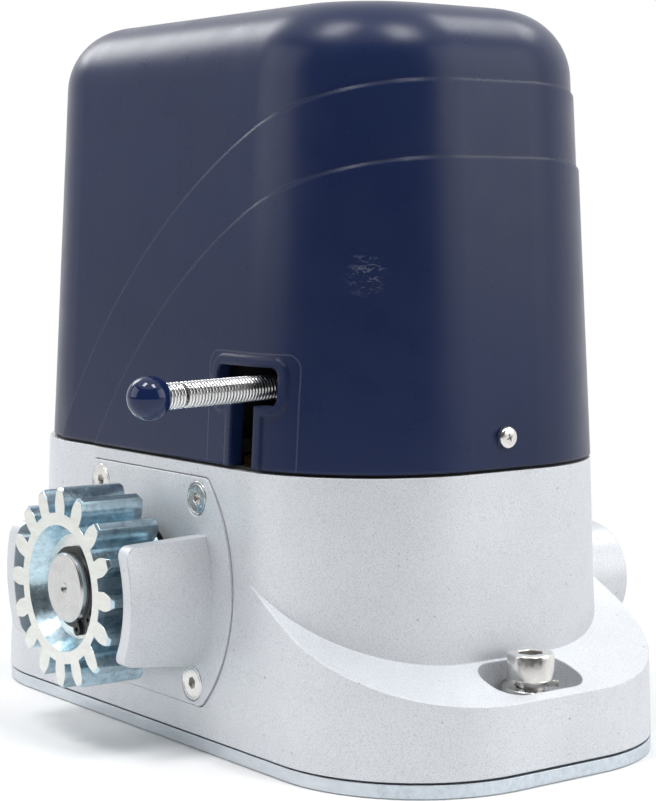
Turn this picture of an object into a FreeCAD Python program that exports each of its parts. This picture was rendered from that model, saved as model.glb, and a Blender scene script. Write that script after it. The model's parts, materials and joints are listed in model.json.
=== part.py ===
import FreeCAD, Part
import math
import os

# Sliding gate motor: a foundation plate, a cast gear case with two bolted feet, a rack pinion
# between two guard ears, a sprung limit lever, a worm gear with a release clutch, and a
# moulded cover over the motor and its electronics.
# Millimetres. +Z is up, X runs along the gate, the pinion faces -Y.
# The origin is on the underside of the base plate, in the plane of the pinion's axis.

# ---- clearances ----
SEAT_GAP = 0.3          # pieces that face each other without a fit
PRESS_FIT = 0.02        # radial clearance left between pieces that are pressed together
RUN_FIT = 0.05          # radial clearance of a shaft in its bore
THREAD_FIT = 0.1        # radial clearance of a screw in its hole
PAST = 400.0            # cutting solids run this far past what they cut
INTO = 1.0              # joined solids run this far into each other

# ---- foundation plate ----
PLATE_HX = 143.8        # half length
PLATE_INSET = 0.5       # the case overhangs the plate's long sides by this
PLATE_R = 55.0          # corner radius
PLATE_T = 4.5
ANCHOR_EDGE = 21.8      # anchor stud holes, from the plate's end
ANCHOR_Y = 41.0
ANCHOR_R = 4.5
ANCHOR_NUT_R = 9.5      # room for the nut, in the underside of the feet
ANCHOR_NUT_H = 16.0
LEVEL_GAP = 0.8         # the case stands this high on its levelling screws
LEVEL_R = 3.0
LEVEL_EDGE = 57.8       # from the plate's end
LEVEL_SIDE = 18.25      # from the plate's long side
LEVEL_LEN = 9.0
LEVEL_BOSS_R = 7.0
LEVEL_BOSS_H = 8.0
CABLE_EDGE = 29.3       # cable duct, from the case's end
CABLE_R = 10.0
CABLE_WALL = 3.0

# ---- gear case ----
CASE_Z = PLATE_T + LEVEL_GAP
CASE_TOP = 101.2
CASE_HX = 114.3         # half length and half width at the top edge
CASE_HY = 71.2
CASE_R = 54.7
CASE_DRAFT = 0.037      # growth per mm of depth
CASE_WALL = 4.5
CASE_FLOOR = 6.0
FOOT_INSET = 0.4        # the feet end this far inside the plate's ends
SWOOP_R = 300.7         # hollow arc of the feet's upper face
SWOOP_OUT = 82.8        # its centre, beyond the plate's end
SWOOP_Z = 317.2
FOOT_RISE = 6.0         # how far above the pinion's axis the feet's sweep begins
BOLT_EDGE = 15.8        # foundation bolt, from the plate's end
RECESS_HX = 10.35       # pocket round the bolt's head
RECESS_HY = 19.4
RECESS_CORNER = 9.0
RECESS_Z = 24.0
SLOT_HALF = 9.0         # travel of the bolt in its slot, each way
BOLT_R = 5.0
BOLT_PLAY = 0.5         # between the bolt and its slot
BOLT_HEAD_R = 8.0
BOLT_HEAD_H = 10.5
BOLT_CHAMFER = 0.8
BOLT_HEX = 8.0          # across the flats of the key
WASHER_R = 10.0
WASHER_T = 2.0
SPRING_WASHER_R = 9.1
SPRING_WASHER_T = 4.2
SPRING_WASHER_SPLIT = 1.6
SPLIT_TURN = -140.0     # degrees, where the split faces on the +X bolt
LID_Z = 90.0            # top of the pillars that carry the gearbox lid
LID_T = 6.0
LID_SHOULDER = 2.0      # under the worm's bearing
OIL_X = 24.0
OIL_EDGE = 31.2         # oil plug, from the case's long side
OIL_R = 8.0
OIL_HEX = 20.0
OIL_HEAD_H = 6.0
GROMMET_WALL = 2.0
GROMMET_LIP = 2.5
PILLAR_EDGE = 15.3      # from the case's end
PILLAR_Y = 30.0
PILLAR_R = 9.0
CAP_SHARE = 1.8         # a cap screw's head radius over its shank's
LID_SCREW_R = 2.5
LID_SCREW_LEN = 18.0
LID_SCREW_HOLE = 20.0

# ---- output shaft and pinion ----
AXIS_Z = 56.2
MODULE = 4.0
TEETH = 16
PRESSURE = math.radians(20)
PINION_OUT = 36.2       # pinion's front face, beyond the case's face
PINION_W = 25.0
PINION_HUB_R = 22.0
PINION_HUB_LEN = 7.0
PINION_DISH_R = 22.6    # dished front face
PINION_DISH_FLOOR = 18.8
PINION_DISH_DEPTH = 6.5
PINION_PHASE = 0.93     # degrees from the vertical to the nearest tooth
TIP_CHAMFER = 0.9
SHAFT_R = 12.5
SHAFT_INSET = 1.6       # the shaft's end lies behind the pinion's face
SHAFT_CHAMFER = 0.8
CENTRE_R = 2.2          # centre mark in the shaft's end
GROOVE_SINK = 1.2       # depth of the circlip's groove
CIRCLIP_LUG_R = 2.3
CIRCLIP_LUG_HOLE = 0.9
CIRCLIP_LUG_OUT = 4.6   # lug's distance from the ring's opening
CIRCLIP_TURN = 150.0
CIRCLIP_T = 1.5
CIRCLIP_W = 3.0
KEY_W = 8.0
KEY_H = 7.0
KEY_INSET = 4.0         # from the back of the teeth
KEY_TURN = -25.0        # degrees from the vertical
WHEEL_SEAT_R = 14.0
SPACER_SLEEVE_R = 17.0
REAR_R = 10.0

# ---- gear cover with its guard ears ----
COVER_PLATE_R = 56.0
COVER_PLATE_H = 40.4    # half height between the flats
COVER_PLATE_CORNER = 4.0
COVER_PLATE_DEPTH = 6.9 # how far the plate reaches into the case's face
COVER_PLATE_PROUD = 0.8
PAD_DEPTH = 9.0         # thick wall behind the gear cover
PAD_RIM = 4.0
CSK_X = 33.0
CSK_Z = 32.8
CSK_HEAD_R = 6.25
CSK_R = 3.0
CSK_LEN = 14.0
CSK_DEPTH = 3.6         # of the cone under each head
CSK_HEAD_GAP = 0.2      # round each head
CSK_HOLE = 8.0          # depth of the tapped holes
EAR_R_IN = 39.0
EAR_T = 5.3
EAR_OUT = 33.6          # ears' free ends, beyond the case's face
EAR_ROOT_LOW = 29.3
EAR_ROOT_HIGH = 76.4
EAR_TIP_LOW = 33.7
EAR_TIP_HIGH = 75.1
EAR_ROUND = 4.5
EAR_SINK = 2.0          # the ears' slanted edges start this far behind the case's face
SHAFT_ROOM = 3.0        # round the shaft, where it passes through the cover plate
SEAL_R = 20.0
SEAL_T = 7.0
SEAL_STOP = 2.0         # shoulder between the seal and the front bearing
FRONT_SEAT_DEPTH = 17.0 # inner end of the front bearing's seat, from the back of the cover plate

# ---- bearings: radius of the bore, outer radius, width ----
FRONT_BEARING = (SHAFT_R, 26.0, 15.0)
REAR_BEARING = (REAR_R, 23.5, 14.0)
WORM_BEARING = (8.5, 20.0, 12.0)
HOUSING_WALL = 5.0      # metal round a bearing seat
REAR_SEAT_DEPTH = 12.9  # outer end of the rear seat, inside the case's back face

# ---- worm, wheel and clutch ----
WORM_PITCH_R = 9.5
WORM_Z = 26.0
WORM_BUSH_R = 10.0
WORM_BUSH_LEN = 10.0
WORM_BUSH_WALL = 4.0
WHEEL_TEETH = 30
WHEEL_MODULE = 2.0
WHEEL_HALF_W = 10.0
WHEEL_ROOT_SHARE = 0.60 # a tooth's share of its pitch at the root and at the tip
WHEEL_TIP_SHARE = 0.26
WHEEL_HUB_R = 22.0
WHEEL_FRONT = -18.0
WHEEL_BACK = 14.0
DOGS = 6
DOG_H = 4.0
DOG_IN = 16.5
DOG_SWEEP = 28.0        # degrees covered by one dog
CLUTCH_TRAVEL = 6.0
CLUTCH_R = 24.0
CLUTCH_LEN = 18.0
GROOVE_R = 20.0
GROOVE_W = 6.0
SPLINES = 4
SPLINE_W = 5.0
SPLINE_H = 2.0

# ---- manual release ----
RELEASE_EDGE = 52.0     # from the case's end
RELEASE_Z = 50.1
RELEASE_R = 7.0
BOSS_R = 20.4
BOSS_OUT = 17.1         # how far the boss stands out of the case's back face
BOSS_DEPTH = 10.9       # and how far it reaches inside
BOSS_DISH_R = 16.5
BOSS_DISH = 9.5
KNOB_T = 3.0
KNOB_CAP = 1.0          # the knob's disc beyond the spindle's end
KNOB_GAP = 0.6          # radial gap round the knob
KNOB_BAR_W = 6.0
KNOB_BAR_INSET = 3.0
FORK_RIM = 7.0          # width of the fork's ring
FORK_WRAP = 3.0         # the ring reaches this far past the shaft's axis
FORK_ROOT = 20.0        # height of the arm at the ring and at the boss
FORK_TIP = 14.0
FORK_BOSS_R = 13.0
FORK_BOSS_LEN = 22.0
PIN_R = 2.5
PIN_PLAY = 0.25         # round the pin, in the fork's helical slot
RELEASE_TURN = 90.0     # degrees of the release spindle
PIN_REACH = 12.0
PIN_SINK = 5.0          # how far the pin goes below the spindle's axis
LUG_DEPTH = 16.0        # lug for the spindle's inner end, from the back of the cover plate
SPINDLE_SEAT = 12.0     # length of the spindle's bore in that lug

# ---- motor ----
FRAME_R = 50.0
FRAME_WALL = 3.0
LOWER_SHIELD_T = 9.0
FRAME_LEN = 98.0
SHIELD_R = 52.0
ROTOR_R = 26.0
AIR_GAP = 0.6
CORE_START = 14.0       # from the frame's lower end
CORE_LEN = 70.0
COIL_R = 44.0
COIL_IN = 30.0
COIL_H = 11.0
TOP_SHIELD_T = 14.0
MOTOR_BOLT_R = 2.5
MOTOR_EAR_R = 6.0
MOTOR_EAR_OUT = 3.5     # bolts' circle, beyond the shields' rim

# ---- cover ----
SEAL_STRIP_T = 1.2
SEAL_STRIP_W = 2.2
SEAL_STRIP_INSET = 1.0
COVER_Z = CASE_TOP + SEAL_STRIP_T
COVER_TOP = 261.0
COVER_INSET = 1.2       # the cover's lower edge lies inside the case's top edge by this
COVER_DRAFT = 0.051
COVER_ROUND = 25.0
COVER_WALL = 3.0
COVER_BEVEL = 0.55 * COVER_ROUND
STEP = 0.85             # height of each raised layer
UPPER_ARC_OUT = 50.4    # centre of the upper layer's arc, beyond the cover's end
UPPER_ARC_Z = -21.1
UPPER_ARC_R = 261.1
LOWER_ARC_OUT = 46.1    # the same for the lower layer
LOWER_ARC_Z = -19.3
LOWER_ARC_R = 232.7
COVER_SCREW_Z = 113.0
COVER_SCREW_R = 2.0
COVER_SCREW_HEAD_R = 3.8
COVER_SCREW_HEAD_H = 2.4
COVER_SCREW_ROUND = 0.9
LUG_T = 7.0
LUG_HALF = 8.0

# ---- limit lever ----
LEVER_EDGE = 51.1       # from the cover's end
PIVOT_DEPTH = 31.5      # pivot, inside the cover's long side
LEVER_Z = 130.3
LEVER_DROOP = 1.5       # degrees
LEVER_HUB_R = 8.0
LEVER_HUB_H = 18.0
PIVOT_R = 2.0
SPRING_R = 4.6
SPRING_WIRE = 1.25
SPRING_START = 13.0     # from the pivot
SPRING_END = 66.0
BALL_R = 7.5
BALL_AT = 71.2
SWING_LEFT = 17.8       # level slot that lets the lever swing, from the pivot
SWING_RIGHT = 14.1
SWING_LOW = 6.3         # and from the lever's height
SWING_HIGH = 6.9
SWING_ROUND = 3.0
LIFT_LEFT = 8.7         # upright slot that lets the cover lift off over the lever
LIFT_RIGHT = 4.2
RIM_W = 3.4             # raised rim round both slots
RIM_H = 0.8
SWITCH_T = 10.0
SWITCH_H = 14.0
SWITCH_GAP = 8.2        # from the lever's middle to each switch
PIVOT_TO_SWITCH = 5.0
PIVOT_TO_PLUNGER = 11.0
PLUNGER_GAP = 6.6
PLUNGER_R = 1.5
SHELF_DROP = 13.0       # lower shelf, below the lever
SHELF_RISE = 11.0       # upper shelf, above it
SHELF_T = 2.0
SHELF_LONG = 21.0       # half lengths of the lower and upper shelf
SHELF_SHORT = 9.0
SHELF_EDGE = 9.0        # from the pivot to the shelves' free edge
BRACKET_HALF = 13.0
BRACKET_BACK = 25.5     # from the pivot to the bracket's wall
BRACKET_FOOT = 14.0
TAIL_W = 6.0            # tail of the hub, between the switches
TAIL_LEN = 13.0
TAIL_LOW = 7.0
TAIL_HIGH = 1.0
NIPPLE_LEN = 9.0
COLLAR_STEP = 0.4       # the hub's collar stands out past the spring by this

# ---- electronics ----
PANEL_EDGE = 15.1       # from the cover's end
PANEL_W = 72.0
PANEL_Y = 16.0
PANEL_T = 2.0
PANEL_TOP = 214.0
BOARD_Z0 = 110.0
BOARD_Z1 = 208.0
BOARD_T = 1.6
SPACER_R = 3.0
SPACER_LEN = 5.0
SPACER_INSET = 5.0
PANEL_FOOT = 8.0
TERMINAL = (20.0, 12.0, 10.0)          # width, depth, height of one block
TERMINAL_PITCH = 22.0
TERMINAL_DROP = 26.0                   # below the board's upper edge
RELAY = (19.0, 15.0, 16.0)
RELAY_PITCH = 28.0
RELAY_DROP = 54.0
CORE = (44.0, 26.0, 44.0)              # transformer core
COIL_SIDE = 5.0                        # how far the coil stands out of the core's faces
COIL_INSET = 8.0
CORE_GAP = 6.0                         # between the panel and the core
CAPACITOR_R = 16.0
CAPACITOR_LEN = 56.0
CAPACITOR_Z = 176.0
CAPACITOR_GAP = 2.0
CLIP_W = 14.0
CLIP_T = 1.5


# ---- places that follow from the sizes above ----
SLOT_X = PLATE_HX - BOLT_EDGE
ANCHOR_X = PLATE_HX - ANCHOR_EDGE
LEVEL_X = PLATE_HX - LEVEL_EDGE
CABLE_X = CASE_HX - CABLE_EDGE
HEAD_Z = RECESS_Z + WASHER_T + SPRING_WASHER_T + SEAT_GAP
PILLAR_X = CASE_HX - PILLAR_EDGE
LID_TOP = LID_Z + LID_T
OIL_Y = OIL_EDGE - CASE_HY
RELEASE_X = CASE_HX - RELEASE_EDGE
PLATE_HY = CASE_HY + CASE_DRAFT * (CASE_TOP - CASE_Z) - PLATE_INSET
LEVEL_Y = PLATE_HY - LEVEL_SIDE
BACK_Y = CASE_HY + CASE_DRAFT * (CASE_TOP - AXIS_Z)
FACE_Y = -BACK_Y
COVER_PLATE_BACK = FACE_Y + COVER_PLATE_DEPTH
PINION_FRONT = FACE_Y - PINION_OUT
EAR_FRONT = FACE_Y - EAR_OUT
BOSS_END = BACK_Y + BOSS_OUT
FRONT_SEAT_END = COVER_PLATE_BACK + FRONT_SEAT_DEPTH
FRONT_SEAT_START = FRONT_SEAT_END - FRONT_BEARING[2]
REAR_SEAT_END = BACK_Y - REAR_SEAT_DEPTH
REAR_SEAT_START = REAR_SEAT_END - REAR_BEARING[2]
SEAL_BACK = FRONT_SEAT_START - SEAL_STOP
SPIGOT_R = FRONT_BEARING[1] + HOUSING_WALL
LUG_END = COVER_PLATE_BACK + LUG_DEPTH
COVER_HX = CASE_HX - COVER_INSET
COVER_HY = CASE_HY - COVER_INSET
COVER_R = CASE_R
LEVER_X = COVER_HX - LEVER_EDGE
LEVER_PIVOT_Y = PIVOT_DEPTH - COVER_HY
PANEL_X1 = COVER_HX - PANEL_EDGE
PANEL_X0 = PANEL_X1 - PANEL_W
PINION_TIP_R = MODULE * (TEETH / 2 + 1)
WHEEL_PITCH_R = WHEEL_MODULE * WHEEL_TEETH / 2
WORM_X = -WHEEL_PITCH_R - WORM_PITCH_R
WORM_CORE_R = WORM_PITCH_R - 1.25 * WHEEL_MODULE


# ---- plain solids ----
def at(x, y, z):
    return FreeCAD.Vector(x, y, z)


def cyl_x(r, x0, x1, y, z):
    return Part.makeCylinder(r, x1 - x0, at(x0, y, z), at(1, 0, 0))


def cyl_y(r, y0, y1, x=0.0, z=AXIS_Z):
    return Part.makeCylinder(r, y1 - y0, at(x, y0, z), at(0, 1, 0))


def cyl_z(r, z0, z1, x, y):
    return Part.makeCylinder(r, z1 - z0, at(x, y, z0))


def ring_y(r_out, r_in, y0, y1, x=0.0, z=AXIS_Z):
    return cyl_y(r_out, y0, y1, x, z).cut(cyl_y(r_in, y0 - INTO, y1 + INTO, x, z))


def ring_z(r_out, r_in, z0, z1, x, y):
    return cyl_z(r_out, z0, z1, x, y).cut(cyl_z(r_in, z0 - INTO, z1 + INTO, x, y))


def box(x0, x1, y0, y1, z0, z1):
    return Part.makeBox(x1 - x0, y1 - y0, z1 - z0, at(x0, y0, z0))


def prism(points, along):
    """A closed polygon pushed along a vector."""
    wire = Part.makePolygon(points + [points[0]])
    return Part.Face(wire).extrude(along)


def rounded_wire(hx, hy, r, z):
    """A rectangle with round corners, level at height z and centred on the origin."""
    edges = []
    k = r * (1 - math.sqrt(0.5))
    for sx, sy in ((1, 1), (-1, 1), (-1, -1), (1, -1)):
        start = at(sx * hx, sy * (hy - r), z)
        middle = at(sx * (hx - k), sy * (hy - k), z)
        end = at(sx * (hx - r), sy * hy, z)
        if sx * sy < 0:
            start, end = end, start
        edges.append(Part.Arc(start, middle, end).toShape())
    straights = []
    for i, arc in enumerate(edges):
        follower = edges[(i + 1) % 4]
        straights.append(Part.makeLine(arc.lastVertex().Point, follower.firstVertex().Point))
    loop = []
    for arc, line in zip(edges, straights):
        loop += [arc, line]
    return Part.Wire(loop)


def rounded_block(hx, hy, r, z0, z1, x=0.0, y=0.0):
    block = Part.Face(rounded_wire(hx, hy, r, z0)).extrude(at(0, 0, z1 - z0))
    block.translate(at(x, y, 0))
    return block


def polar(points_per_turn, shape, centre, axis):
    """Copies of a shape, evenly spaced round an axis."""
    copies = []
    for i in range(points_per_turn):
        copy = shape.copy()
        copy.rotate(centre, axis, 360.0 * i / points_per_turn)
        copies.append(copy)
    return copies


def fuse(first, *others):
    whole = first
    for other in others:
        whole = whole.fuse(other)
    return whole.removeSplitter()


def mirrored(shape):
    """The shape and its twin across the YZ plane."""
    return [shape, shape.mirror(at(0, 0, 0), at(1, 0, 0))]


def save(name, *solids):
    shape = solids[0] if len(solids) == 1 else Part.makeCompound(list(solids))
    shape.exportStep("parts/" + name + ".step")


# ---- outer forms ----
def tapered_block(hx, hy, r, z0, z1, draft):
    """A block with round upright corners whose sides all lean in by draft per mm of height."""
    rise = z1 - z0
    lean = draft * rise
    cx = hx - r
    cy = hy - r
    solids = []
    for x, y in ((cx, cy), (-cx, cy), (-cx, -cy), (cx, -cy)):
        solids.append(Part.makeCone(r, r - lean, rise, at(x, y, z0)))
    side = [at(-hx, -cy, z0), at(hx, -cy, z0), at(hx - lean, -cy, z1), at(-hx + lean, -cy, z1)]
    front = [at(-cx, -hy, z0), at(-cx, hy, z0), at(-cx, hy - lean, z1), at(-cx, -hy + lean, z1)]
    return fuse(prism(side, at(0, 2 * cy, 0)), prism(front, at(2 * cx, 0, 0)), *solids)


def case_form(z0, z1, grow=0.0):
    """The tapered body of the gear case between two heights."""
    out = grow + CASE_DRAFT * (CASE_TOP - z0)
    return tapered_block(CASE_HX + out, CASE_HY + out, CASE_R + out, z0, z1, CASE_DRAFT)


def cover_form(grow=0.0):
    """The tapered body of the cover with its large top round."""
    form = tapered_block(COVER_HX + grow, COVER_HY + grow, COVER_R + grow,
                         COVER_Z, COVER_TOP, COVER_DRAFT)
    return form.makeFillet(COVER_ROUND + grow, top_edges(form))


def cover_hollow():
    """The room under the cover; its top edge is bevelled to keep the wall's thickness."""
    form = tapered_block(COVER_HX - COVER_WALL, COVER_HY - COVER_WALL, COVER_R - COVER_WALL,
                         COVER_Z, COVER_TOP - COVER_WALL, COVER_DRAFT)
    return form.makeChamfer(COVER_BEVEL, top_edges(form))


def top_edges(form):
    return [e for e in form.Edges if e.BoundBox.ZMin > form.BoundBox.ZMax - 0.01]


def case_wall_y(z):
    """How far the flat side walls of the case stand from its middle at height z."""
    return CASE_HY + CASE_DRAFT * (CASE_TOP - z)


# ---- foundation ----
def bolt_places():
    return ((SLOT_X, 0.0), (-SLOT_X, 0.0))


def anchor_places():
    return [(sx * ANCHOR_X, sy * ANCHOR_Y) for sx in (1, -1) for sy in (1, -1)]


def level_places():
    return [(sx * LEVEL_X, sy * LEVEL_Y) for sx in (1, -1) for sy in (1, -1)]


def base_plate():
    plate = rounded_block(PLATE_HX, PLATE_HY, PLATE_R, 0, PLATE_T)
    for x, y in bolt_places():
        plate = plate.cut(cyl_z(BOLT_R + THREAD_FIT, -INTO, PLATE_T + INTO, x, y))
    for x, y in anchor_places():
        plate = plate.cut(cyl_z(ANCHOR_R, -INTO, PLATE_T + INTO, x, y))
    return plate.cut(cyl_z(CABLE_R, -INTO, PLATE_T + INTO, CABLE_X, 0))


def levelling_screws():
    return [cyl_z(LEVEL_R, PLATE_T, PLATE_T + LEVEL_LEN, x, y) for x, y in level_places()]


def hex_prism(across, z0, z1, x, y):
    r = across / math.sqrt(3)
    corners = [at(x + r * math.cos(math.radians(a)), y + r * math.sin(math.radians(a)), z0)
               for a in range(0, 360, 60)]
    return prism(corners, at(0, 0, z1 - z0))


def foundation_bolts():
    bolts = []
    for x, y in bolt_places():
        head = cyl_z(BOLT_HEAD_R, HEAD_Z, HEAD_Z + BOLT_HEAD_H, x, y)
        head = head.makeChamfer(BOLT_CHAMFER, [e for e in head.Edges if e.BoundBox.ZMin > HEAD_Z + INTO])
        shank = cyl_z(BOLT_R, SEAT_GAP, HEAD_Z, x, y)
        top = HEAD_Z + BOLT_HEAD_H
        socket = hex_prism(BOLT_HEX, top - BOLT_HEAD_H / 2, top + INTO, x, y)
        bolts.append(fuse(head, shank).cut(socket))
    return bolts


def foundation_washers():
    top = RECESS_Z + WASHER_T
    return [ring_z(WASHER_R, BOLT_R + SEAT_GAP, RECESS_Z, top, x, y) for x, y in bolt_places()]


def spring_washers():
    washers = []
    z0 = RECESS_Z + WASHER_T
    for x, y in bolt_places():
        washer = ring_z(SPRING_WASHER_R, BOLT_R + SEAT_GAP, z0, z0 + SPRING_WASHER_T, x, y)
        half = SPRING_WASHER_SPLIT / 2
        split = box(x, x + 2 * SPRING_WASHER_R, y - half, y + half, z0 - INTO, z0 + PAST)
        split.rotate(at(x, y, z0), at(0, 0, 1), SPLIT_TURN if x > 0 else SPLIT_TURN + 180)
        washers.append(washer.cut(split))
    return washers


# ---- gear case ----
def feet():
    """The two feet: the plate's outline under a long hollow sweep down from the body."""
    block = tapered_block(PLATE_HX - FOOT_INSET, case_wall_y(CASE_Z), PLATE_R,
                          CASE_Z, AXIS_Z + FOOT_RISE, CASE_DRAFT)
    for scoop in mirrored(cyl_y(SWOOP_R, -PAST, PAST, PLATE_HX + SWOOP_OUT, SWOOP_Z)):
        block = block.cut(scoop)
    return block


def plate_outline(grow, y0, y1):
    """The gear cover's outline: a disc cut off by an upper and a lower flat."""
    disc = cyl_y(COVER_PLATE_R + grow, y0, y1)
    half = COVER_PLATE_H + grow
    flats = box(-PAST, PAST, y0 - INTO, y1 + INTO, AXIS_Z - half, AXIS_Z + half)
    plate = disc.common(flats)
    corners = [e for e in plate.Edges
               if e.BoundBox.XLength < 0.01 and e.BoundBox.ZLength < 0.01
               and e.BoundBox.YLength > 1 and len(e.Vertexes) == 2]
    return plate.makeFillet(COVER_PLATE_CORNER, corners)


def csk_places():
    return [(sx * CSK_X, AXIS_Z + sz * CSK_Z) for sx in (1, -1) for sz in (1, -1)]


def pillar_places():
    return [(sx * PILLAR_X, sy * PILLAR_Y) for sx in (1, -1) for sy in (1, -1)]


def case_inside(solid):
    """Bosses, pillars and seats inside the hollow case, kept within its outer form."""
    floor = CASE_Z + CASE_FLOOR
    base = floor - INTO
    pad = plate_outline(PAD_RIM, FACE_Y, COVER_PLATE_BACK + PAD_DEPTH)
    rear = cyl_y(REAR_BEARING[1] + HOUSING_WALL, REAR_SEAT_START, BACK_Y + INTO)
    lug = cyl_y(FORK_BOSS_R, FACE_Y - INTO, LUG_END, RELEASE_X, RELEASE_Z)
    boss = cyl_y(BOSS_R, BACK_Y - BOSS_DEPTH, BACK_Y + INTO, RELEASE_X, RELEASE_Z)
    tail = cyl_z(WORM_BUSH_R + WORM_BUSH_WALL, base, WORM_Z, WORM_X, 0)
    duct = cyl_z(CABLE_R + CABLE_WALL, base, LID_Z, CABLE_X, 0)
    pillars = [cyl_z(PILLAR_R, base, LID_Z, x, y) for x, y in pillar_places()]
    levels = [cyl_z(LEVEL_BOSS_R, base, floor + LEVEL_BOSS_H, x, y) for x, y in level_places()]
    inner = fuse(pad, rear, lug, boss, tail, duct, *pillars, *levels)
    return fuse(solid, inner.common(case_form(CASE_Z, CASE_TOP, -INTO)))


def cover_lugs():
    """Tabs that stand up inside the cover's ends to take its screws."""
    reach = cover_inner_x(COVER_SCREW_Z + LUG_HALF) - SEAT_GAP
    lug = box(reach - LUG_T, reach, -LUG_HALF, LUG_HALF, LID_Z + LID_T, COVER_SCREW_Z + LUG_HALF)
    root = box(reach - LUG_T, CASE_HX - INTO, -LUG_HALF, LUG_HALF, LID_Z + LID_T, CASE_TOP)
    tab = fuse(lug, root)
    return mirrored(tab)


def cover_inner_x(z):
    """Half length of the cover's inner face at height z."""
    return COVER_HX - COVER_DRAFT * (z - COVER_Z) - COVER_WALL


def gear_case():
    outer = fuse(case_form(CASE_Z, CASE_TOP), feet())
    hollow = case_form(CASE_Z + CASE_FLOOR, CASE_TOP + INTO, -CASE_WALL)
    case = case_inside(outer.cut(hollow))
    outer_boss = cyl_y(BOSS_R, BACK_Y - CASE_WALL / 2, BOSS_END, RELEASE_X, RELEASE_Z)
    case = fuse(case, outer_boss, *cover_lugs())
    # front opening and pocket for the gear cover
    case = case.cut(plate_outline(SEAT_GAP, -PAST, COVER_PLATE_BACK))
    case = case.cut(cyl_y(SPIGOT_R + SEAT_GAP, -PAST, COVER_PLATE_BACK + PAD_DEPTH + INTO))
    for x, z in csk_places():
        case = case.cut(cyl_y(CSK_R + THREAD_FIT, -PAST, COVER_PLATE_BACK + CSK_HOLE, x, z))
    # rear bearing seat, release spindle bores and the dished end of its boss
    case = case.cut(cyl_y(REAR_BEARING[1] + PRESS_FIT, REAR_SEAT_START - INTO, REAR_SEAT_END))
    spindle = cyl_y(RELEASE_R + RUN_FIT, BACK_Y - BOSS_DEPTH - INTO, PAST, RELEASE_X, RELEASE_Z)
    dish = cyl_y(BOSS_DISH_R, BOSS_END - BOSS_DISH, PAST, RELEASE_X, RELEASE_Z)
    inner_end = cyl_y(RELEASE_R + RUN_FIT, LUG_END - SPINDLE_SEAT, LUG_END + INTO, RELEASE_X, RELEASE_Z)
    case = case.cut(spindle).cut(dish).cut(inner_end)
    # worm tail bush, cable duct and tapped holes
    case = case.cut(cyl_z(WORM_BUSH_R + PRESS_FIT, WORM_Z - WORM_BUSH_LEN, WORM_Z + INTO, WORM_X, 0))
    case = case.cut(cyl_z(CABLE_R, 0, LID_Z + INTO, CABLE_X, 0))
    for x, y in pillar_places():
        case = case.cut(cyl_z(LID_SCREW_R + THREAD_FIT, LID_TOP - LID_SCREW_HOLE, LID_Z + INTO, x, y))
    for x, y in level_places():
        top = CASE_Z + CASE_FLOOR + LEVEL_BOSS_H
        case = case.cut(cyl_z(LEVEL_R + THREAD_FIT, 0, top + INTO, x, y))
    case = case.cut(cyl_x(COVER_SCREW_R + THREAD_FIT, -PAST, PAST, 0, COVER_SCREW_Z))
    # foundation bolt pockets and slots, and room for the anchor nuts
    for x, y in bolt_places():
        pocket = rounded_block(RECESS_HX, RECESS_HY, RECESS_CORNER, RECESS_Z, AXIS_Z, x, y)
        slot_r = BOLT_R + BOLT_PLAY
        slot = rounded_block(slot_r, slot_r + SLOT_HALF, 0.99 * slot_r, 0, AXIS_Z, x, y)
        case = case.cut(pocket).cut(slot)
    for x, y in anchor_places():
        case = case.cut(cyl_z(ANCHOR_NUT_R, 0, CASE_Z + ANCHOR_NUT_H, x, y))
    return case


# ---- gear cover ----
def ear_profile():
    """Side view of an ear: tapered towards its free end, which has round corners."""
    root = FACE_Y + EAR_SINK
    rib = prism([at(-PAST, root, EAR_ROOT_LOW), at(-PAST, EAR_FRONT, EAR_TIP_LOW),
                 at(-PAST, EAR_FRONT, EAR_TIP_HIGH), at(-PAST, root, EAR_ROOT_HIGH)], at(2 * PAST, 0, 0))
    tips = [e for e in rib.Edges if e.BoundBox.XLength > PAST and e.BoundBox.YMax < EAR_FRONT + INTO]
    return rib.makeFillet(EAR_ROUND, tips)


def gear_cover():
    outline = plate_outline(0.0, -PAST, COVER_PLATE_BACK)
    plate = outline.common(case_form(CASE_Z, CASE_TOP, COVER_PLATE_PROUD))
    ears = ring_y(EAR_R_IN + EAR_T, EAR_R_IN, EAR_FRONT, FACE_Y + EAR_SINK)
    ears = ears.common(ear_profile())
    spigot = cyl_y(SPIGOT_R, COVER_PLATE_BACK - INTO, FRONT_SEAT_END)
    cover = fuse(plate, ears, spigot)
    cover = cover.cut(cyl_y(FRONT_BEARING[1] + PRESS_FIT, FRONT_SEAT_START, FRONT_SEAT_END + INTO))
    cover = cover.cut(cyl_y(SEAL_R + PRESS_FIT, -PAST, SEAL_BACK))
    cover = cover.cut(cyl_y(SHAFT_R + SHAFT_ROOM, -PAST, FRONT_SEAT_END))
    for x, z in csk_places():
        face = csk_face(z)
        head_r = CSK_HEAD_R + CSK_HEAD_GAP
        cone = Part.makeCone(head_r, CSK_R, CSK_DEPTH, at(x, face, z), at(0, 1, 0))
        mouth = cyl_y(head_r, face - COVER_PLATE_DEPTH, face, x, z)
        hole = cyl_y(CSK_R + THREAD_FIT, face, COVER_PLATE_BACK + INTO, x, z)
        cover = cover.cut(cone).cut(mouth).cut(hole)
    return cover


def csk_face(z):
    """Where the front of the gear cover's plate lies at height z."""
    return -case_wall_y(z) - COVER_PLATE_PROUD


def gear_cover_screws():
    screws = []
    for x, z in csk_places():
        face = csk_face(z)
        head = Part.makeCone(CSK_HEAD_R, CSK_R - CSK_HEAD_GAP, CSK_DEPTH, at(x, face, z), at(0, 1, 0))
        shank = cyl_y(CSK_R, face + CSK_DEPTH - INTO / 2, face + CSK_LEN, x, z)
        screws.append(fuse(head, shank))
    return screws


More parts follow.
